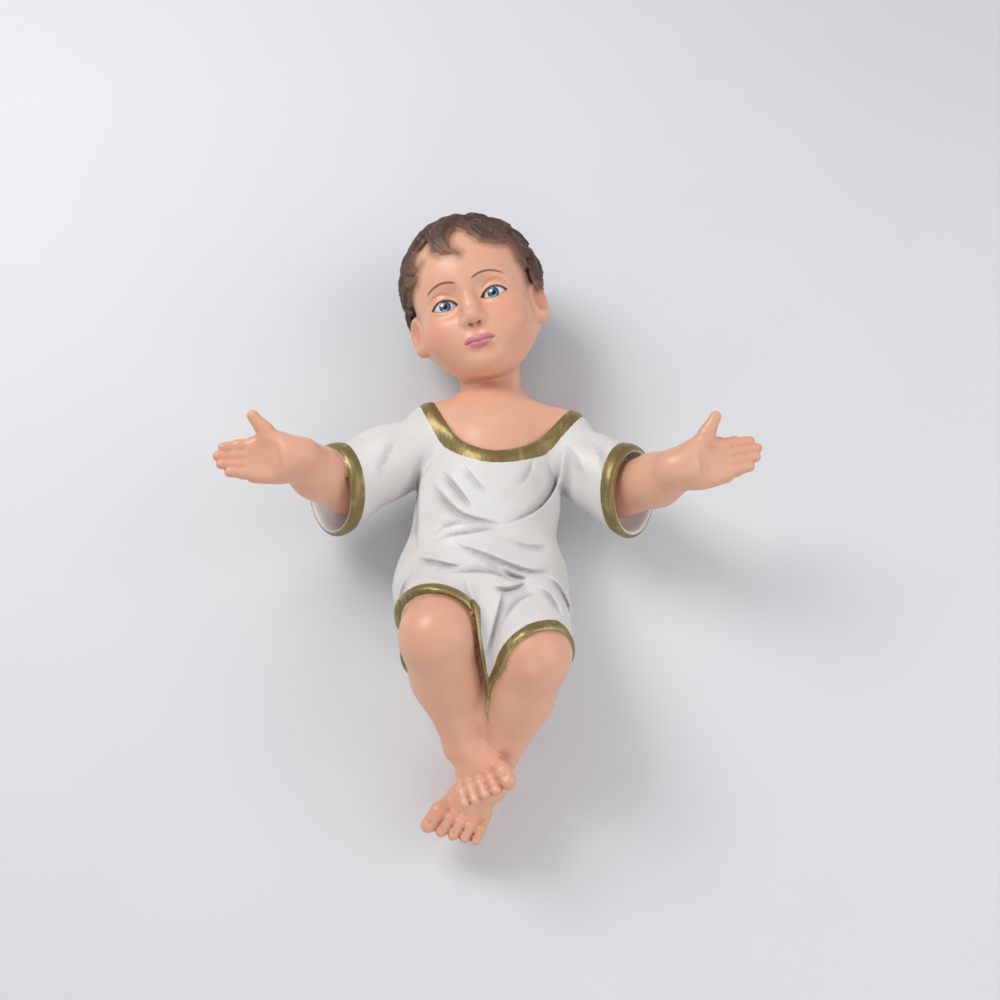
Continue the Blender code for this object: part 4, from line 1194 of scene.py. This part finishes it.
def painted_casting(paint):
    recipe = Recipe("painted_casting")
    cloth, locks, gilt = recipe.felt("cloth"), recipe.felt("locks"), recipe.felt("gilt")
    hollow, deep, ridge = recipe.felt("hollow"), recipe.felt("deep"), recipe.felt("ridge")
    crease, pink = recipe.felt("crease"), recipe.felt("blush")
    on_head = recipe.placed("on_head")
    clouds, specks = recipe.grain(45, 3), recipe.grain(420, 3)
    streaks, brush = recipe.grain(260, 2, (1, 0.25, 1)), recipe.grain(900, 2, (1, 0.35, 1))

    flesh = recipe.layers(
        paint.skin,
        (paint.skin_light, clouds.past(0.38, 0.68) * 0.5),
        # painted shade: the skin darker in broad hollows
        (paint.skin_shade, deep.past(0.15, 1.0) * 0.6),
        (paint.blush, pink * 0.36),
        # painted shade in the skin's creases, partly the figure's own airbrushed shading there
        (paint.skin_crease_shade, hollow.past(0.15, 0.85) * 0.7),
    )
    flesh, flesh_gloss = painted_eyes(recipe, flesh, recipe.level(0.30, 0.40, specks), paint, *on_head)
    flesh = painted_lips(recipe, flesh, paint, *on_head)
    flesh = recipe.over(flesh, paint.hair_light_and_highlight, locks.past(-4.5, 0.3) * (clouds * 0.5 + 0.45))
    mane = recipe.layers(
        paint.hair_light_and_highlight,
        (paint.hair, locks.past(0.0, 4.0) * (specks * 0.4 + 0.7)),
        # painted shade in the hollows between the locks
        (paint.hair_dark_and_shade, hollow.past(0.03, 0.6) * 0.95),
        # painted highlights on the ridges of the locks
        (paint.hair_light_and_highlight, ridge.past(0.4, 0.95) * 0.4),
        (paint.hair_dark_and_shade, clouds.past(0.5, 0.75) * 0.4),
    )
    linen = recipe.layers(
        paint.cloth,
        (paint.cloth_warm, clouds.past(0.42, 0.7) * 0.6),
        # painted shade on the low side of each fold, partly the figure's own sprayed shading
        (paint.cloth_shade, crease.past(0.05, 0.8) * 0.8),
        # painted shade, darkest at the bottom of each crease
        (paint.cloth_crease_shade, crease.past(0.8, 0.98) * 0.6),
        # painted shade in broad hollows of the cloth
        (paint.cloth_shade, deep.past(0.12, 0.9) * 0.6),
        # painted shade in small hollows of the cloth
        (paint.cloth_crease_shade, hollow.past(0.5, 1.0) * 0.35),
    )
    gold = recipe.layers(
        paint.gold,
        (paint.gold_dark, specks.past(0.5, 0.75) * 0.3),
        (paint.gold_light_and_highlight, streaks.past(0.52, 0.68) * 0.22),
        # painted highlights on the ridges of the gold borders
        (paint.gold_light_and_highlight, ridge.past(0.2, 0.8) * 0.6),
        (paint.gold_dark, hollow.past(0.2, 0.9) * 0.5),
    )

    is_hair, is_cloth = locks.past(-0.12, 0.12), cloth.past(-0.1, 0.1)
    wobble = (clouds - 0.5) * 1.0 + (specks - 0.5) * 0.5
    is_gold = (gilt + wobble).past(-0.12, 0.12) * is_cloth
    colour = recipe.layers(flesh, (mane, is_hair), (linen, is_cloth), (gold, is_gold))
    gloss = recipe.level(flesh_gloss, 0.5, is_hair)
    gloss = recipe.level(gloss, recipe.level(0.36, 0.5, specks), is_cloth)
    gloss = recipe.level(gloss, recipe.level(0.30, 0.46, specks), is_gold)
    tree, shader = recipe.tree, recipe.shader
    tree.links.new(colour, shader.inputs["Base Color"])
    tree.links.new(gloss.socket, shader.inputs["Roughness"])
    tree.links.new((is_gold * GOLD_METALLIC).socket, shader.inputs["Metallic"])
    recipe.relief(brush * (is_cloth * 0.7 + is_gold * 0.5 + 0.3), BRUSH_RELIEF)
    return recipe.material


# settings, pieces and stage
def colour_property(name, description, picture_colour):
    return bpy.props.FloatVectorProperty(
        name=name, description=description, default=shade(*picture_colour), subtype="COLOR", min=0, max=1
    )


def light_power(name, watts):
    words = "Power of the " + name.lower()
    return bpy.props.FloatProperty(name=name, description=words, default=watts, unit="POWER")


class CastingSettings(bpy.types.PropertyGroup):
    coarser: bpy.props.FloatProperty(
        name="Coarser", description="How much wider than planned the grid is", default=1.0, min=1.0, max=4.0
    )
    triangles: bpy.props.IntProperty(
        name="Triangles", description="Triangles left in the mesh", default=192000, min=8000, max=199000
    )


class PaintSettings(bpy.types.PropertyGroup):
    skin: colour_property("Skin", "Flesh paint", (230, 172, 141))
    skin_light: colour_property("Light skin", "Flesh paint where it is thinner", (236, 184, 155))
    # painted shade in the skin's broad hollows
    skin_shade: colour_property("Skin shade", "Flesh paint in broad hollows", (204, 142, 116))
    # painted shade in the skin's creases, partly the figure's own airbrushed shading
    skin_crease_shade: colour_property("Skin line", "Flesh paint in creases", (168, 100, 78))
    blush: colour_property("Blush", "Sprayed pink on cheeks, knees and finger ends", (226, 124, 108))
    lips: colour_property("Lips", "Lip paint", (212, 122, 140))
    lip_line: colour_property("Lip line", "Line between the lips", (140, 62, 70))
    brow: colour_property("Brows", "Brow lines", (112, 72, 50))
    # the upper lid line's colour, also used for the painted shadow under the upper lid
    lid_line_and_shadow: colour_property("Upper lids", "Line along the upper lids", (70, 42, 36))
    lower_line: colour_property("Lower lids", "Line along the lower lids", (178, 108, 92))
    white: colour_property("Eye white", "White of the eyes", (236, 234, 234))
    # painted shade on the eye white near the lids
    eye_white_shade: colour_property("Eye corner", "White of the eyes at their edge", (196, 178, 178))
    iris: colour_property("Iris", "Iris paint", (62, 104, 134))
    iris_rim: colour_property("Iris rim", "Outer ring of the iris", (34, 62, 92))
    # painted light in the lower part of the iris
    iris_light: colour_property("Iris light", "Lower part of the iris", (140, 184, 206))
    pupil: colour_property("Pupil", "Pupil paint", (14, 14, 18))
    eye_light: colour_property("Eye light", "Dot of light on the eyes", (249, 249, 249))
    hair: colour_property("Hair", "Hair paint", (72, 49, 40))
    # the hair's darker tone, also the painted shade between the locks
    hair_dark_and_shade: colour_property("Dark hair", "Hair paint between the locks", (38, 27, 25))
    # lighter hair paint sprayed at the hairline, also the painted highlights on the locks
    hair_light_and_highlight: colour_property("Light hair", "Sprayed hair paint at the hairline", (140, 100, 78))
    cloth: colour_property("Cloth", "Tunic paint", (227, 224, 220))
    cloth_warm: colour_property("Warm cloth", "Tunic paint where it has yellowed", (218, 210, 202))
    # painted shade in the folds, partly the figure's own sprayed shading
    cloth_shade: colour_property("Cloth shade", "Sprayed shade in broad folds", (190, 184, 186))
    # painted shade in the cloth's creases
    cloth_crease_shade: colour_property("Cloth line", "Tunic paint in creases", (140, 133, 134))
    gold: colour_property("Gold", "Border paint", (142, 124, 78))
    # lighter gold streaks, also the painted highlights on the borders' ridges
    gold_light_and_highlight: colour_property("Light gold", "Border paint on its ridges", (228, 212, 152))
    gold_dark: colour_property("Dark gold", "Border paint where it has darkened", (120, 104, 60))


class StageSettings(bpy.types.PropertyGroup):
    floor: colour_property("Floor", "Floor colour", (226, 226, 228))
    floor_size: bpy.props.FloatProperty(
        name="Floor size", description="Width of the floor", default=6.0, min=0.5, unit="LENGTH"
    )
    key: light_power("Key light", 4.6)
    fill: light_power("Fill light", 2.5)
    back: light_power("Back light", 1.2)
    room: bpy.props.FloatProperty(name="Room light", description="Strength of the room's light", default=0.44)
    distance: bpy.props.FloatProperty(
        name="Camera distance", description="From the camera to its target", default=0.650, unit="LENGTH"
    )
    elevation: bpy.props.FloatProperty(
        name="Camera height", description="Angle above the floor", default=math.radians(65), subtype="ANGLE"
    )
    lens: bpy.props.FloatProperty(
        name="Lens", description="Focal length in millimetres", default=46.8, min=10, unit="CAMERA"
    )
    target: bpy.props.FloatVectorProperty(
        name="Target", description="What the camera looks at", default=(0.00555, 0.0024, 0.040), subtype="XYZ"
    )


class FIGURINE_OT_casting(bpy.types.Operator):
    """Carve and paint the casting in place of its plain solid"""

    bl_idname = "figurine.casting"
    bl_label = "Painted Casting"

    def execute(self, context):
        settings = context.scene.figurine_casting
        coarser = settings.coarser * 1.0
        mesh = cast(coarser, settings.triangles)
        count = len(mesh.vertices)
        points, normals = np.empty(count * 3), np.empty(count * 3)
        mesh.vertices.foreach_get("co", points)
        mesh.vertex_normals.foreach_get("vector", normals)
        points, normals = points.reshape(-1, 3), normals.reshape(-1, 3)
        for name, values in coats(points, normals).items():
            kind, key = ("FLOAT_VECTOR", "vector") if values.ndim == 2 else ("FLOAT", "value")
            attribute = mesh.attributes.new(name, kind, "POINT")
            attribute.data.foreach_set(key, values.ravel().astype(np.float32))
        low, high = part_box(NODE)
        middle = (np.array(low) + np.array(high)) / 2
        points = points * MM
        points[:, :2] += middle[:2] - (points.min(0) + points.max(0))[:2] / 2
        mesh.vertices.foreach_set("co", points.ravel())
        mesh.update()
        mesh.shade_smooth()
        mesh.name = PIECE
        mesh.materials.append(painted_casting(context.scene.figurine_paint))
        piece = bpy.data.objects.new(PIECE, mesh)
        context.scene.collection.objects.link(piece)
        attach(piece, "root")
        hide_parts(NODE)
        return {"FINISHED"}


# lights: name, width, place in metres; and the colour of the room's light
LAMPS = (
    ("key", 0.45, (-0.48, 0.36, 0.74)),
    ("fill", 0.80, (0.70, -0.10, 0.60)),
    ("back", 0.60, (0.10, -0.75, 0.55)),
)
ROOM_COLOUR = (0.92, 0.95, 1.0, 1)


class FIGURINE_OT_stage(bpy.types.Operator):
    """Lay the floor and set the lights and the camera"""

    bl_idname = "figurine.stage"
    bl_label = "Stage"

    def execute(self, context):
        settings = context.scene.figurine_stage
        scene = context.scene
        half = settings.floor_size / 2
        corners = [(-half, -half, 0), (half, -half, 0), (half, half, 0), (-half, half, 0)]
        ground = bpy.data.meshes.new("floor")
        ground.from_pydata(corners, [], [(0, 1, 2, 3)])
        recipe = Recipe("floor")
        tone = recipe.over(settings.floor, [v * 0.97 for v in settings.floor], recipe.grain(14, 2))
        recipe.tree.links.new(tone, recipe.shader.inputs["Base Color"])
        recipe.shader.inputs["Roughness"].default_value = 0.8
        ground.materials.append(recipe.material)
        floor = bpy.data.objects.new("floor", ground)
        scene.collection.objects.link(floor)

        target = Vector(settings.target)
        for name, size, place in LAMPS:
            lamp = bpy.data.lights.new(name, "AREA")
            lamp.energy, lamp.size = getattr(settings, name), size
            light = bpy.data.objects.new(name, lamp)
            light.location = place
            light.rotation_euler = (target - Vector(place)).to_track_quat("-Z", "Y").to_euler()
            scene.collection.objects.link(light)
        world = bpy.data.worlds.new("room")
        world.use_nodes = True
        sky = world.node_tree.nodes["Background"]
        sky.inputs["Color"].default_value = ROOM_COLOUR
        sky.inputs["Strength"].default_value = settings.room
        scene.world = world

        sight = Vector((0, math.cos(settings.elevation), -math.sin(settings.elevation)))
        lens = bpy.data.cameras.new("camera")
        lens.lens, lens.sensor_width, lens.clip_start = settings.lens, 36.0, 0.01
        camera = bpy.data.objects.new("camera", lens)
        camera.location = target - settings.distance * sight
        camera.rotation_euler = sight.to_track_quat("-Z", "Y").to_euler()
        scene.collection.objects.link(camera)
        scene.camera = camera
        scene.view_settings.view_transform = "Standard"
        return {"FINISHED"}


class FIGURINE_PT_sidebar(bpy.types.Panel):
    """The figurine's pieces, paints and stage"""

    bl_idname = "FIGURINE_PT_sidebar"
    bl_label = "Painted Lying Child"
    bl_space_type = "VIEW_3D"
    bl_region_type = "UI"
    bl_category = "Figurine"

    def draw(self, context):
        for name in ("casting", "stage"):
            box = self.layout.box()
            box.operator("figurine." + name)
            self.listed(box, getattr(context.scene, "figurine_" + name))
        self.listed(self.layout.box(), context.scene.figurine_paint)

    def listed(self, box, settings):
        for name in settings.bl_rna.properties.keys():
            if name not in ("rna_type", "name"):
                box.prop(settings, name)


CLASSES = (
    CastingSettings,
    PaintSettings,
    StageSettings,
    FIGURINE_OT_casting,
    FIGURINE_OT_stage,
    FIGURINE_PT_sidebar,
)


def register():
    for part in CLASSES:
        bpy.utils.register_class(part)
    bpy.types.Scene.figurine_casting = bpy.props.PointerProperty(type=CastingSettings)
    bpy.types.Scene.figurine_paint = bpy.props.PointerProperty(type=PaintSettings)
    bpy.types.Scene.figurine_stage = bpy.props.PointerProperty(type=StageSettings)


def unregister():
    del bpy.types.Scene.figurine_casting
    del bpy.types.Scene.figurine_paint
    del bpy.types.Scene.figurine_stage
    for part in reversed(CLASSES):
        bpy.utils.unregister_class(part)


def main():
    register()
    bpy.ops.figurine.casting()
    bpy.ops.figurine.stage()


if __name__ == "__main__":
    main()
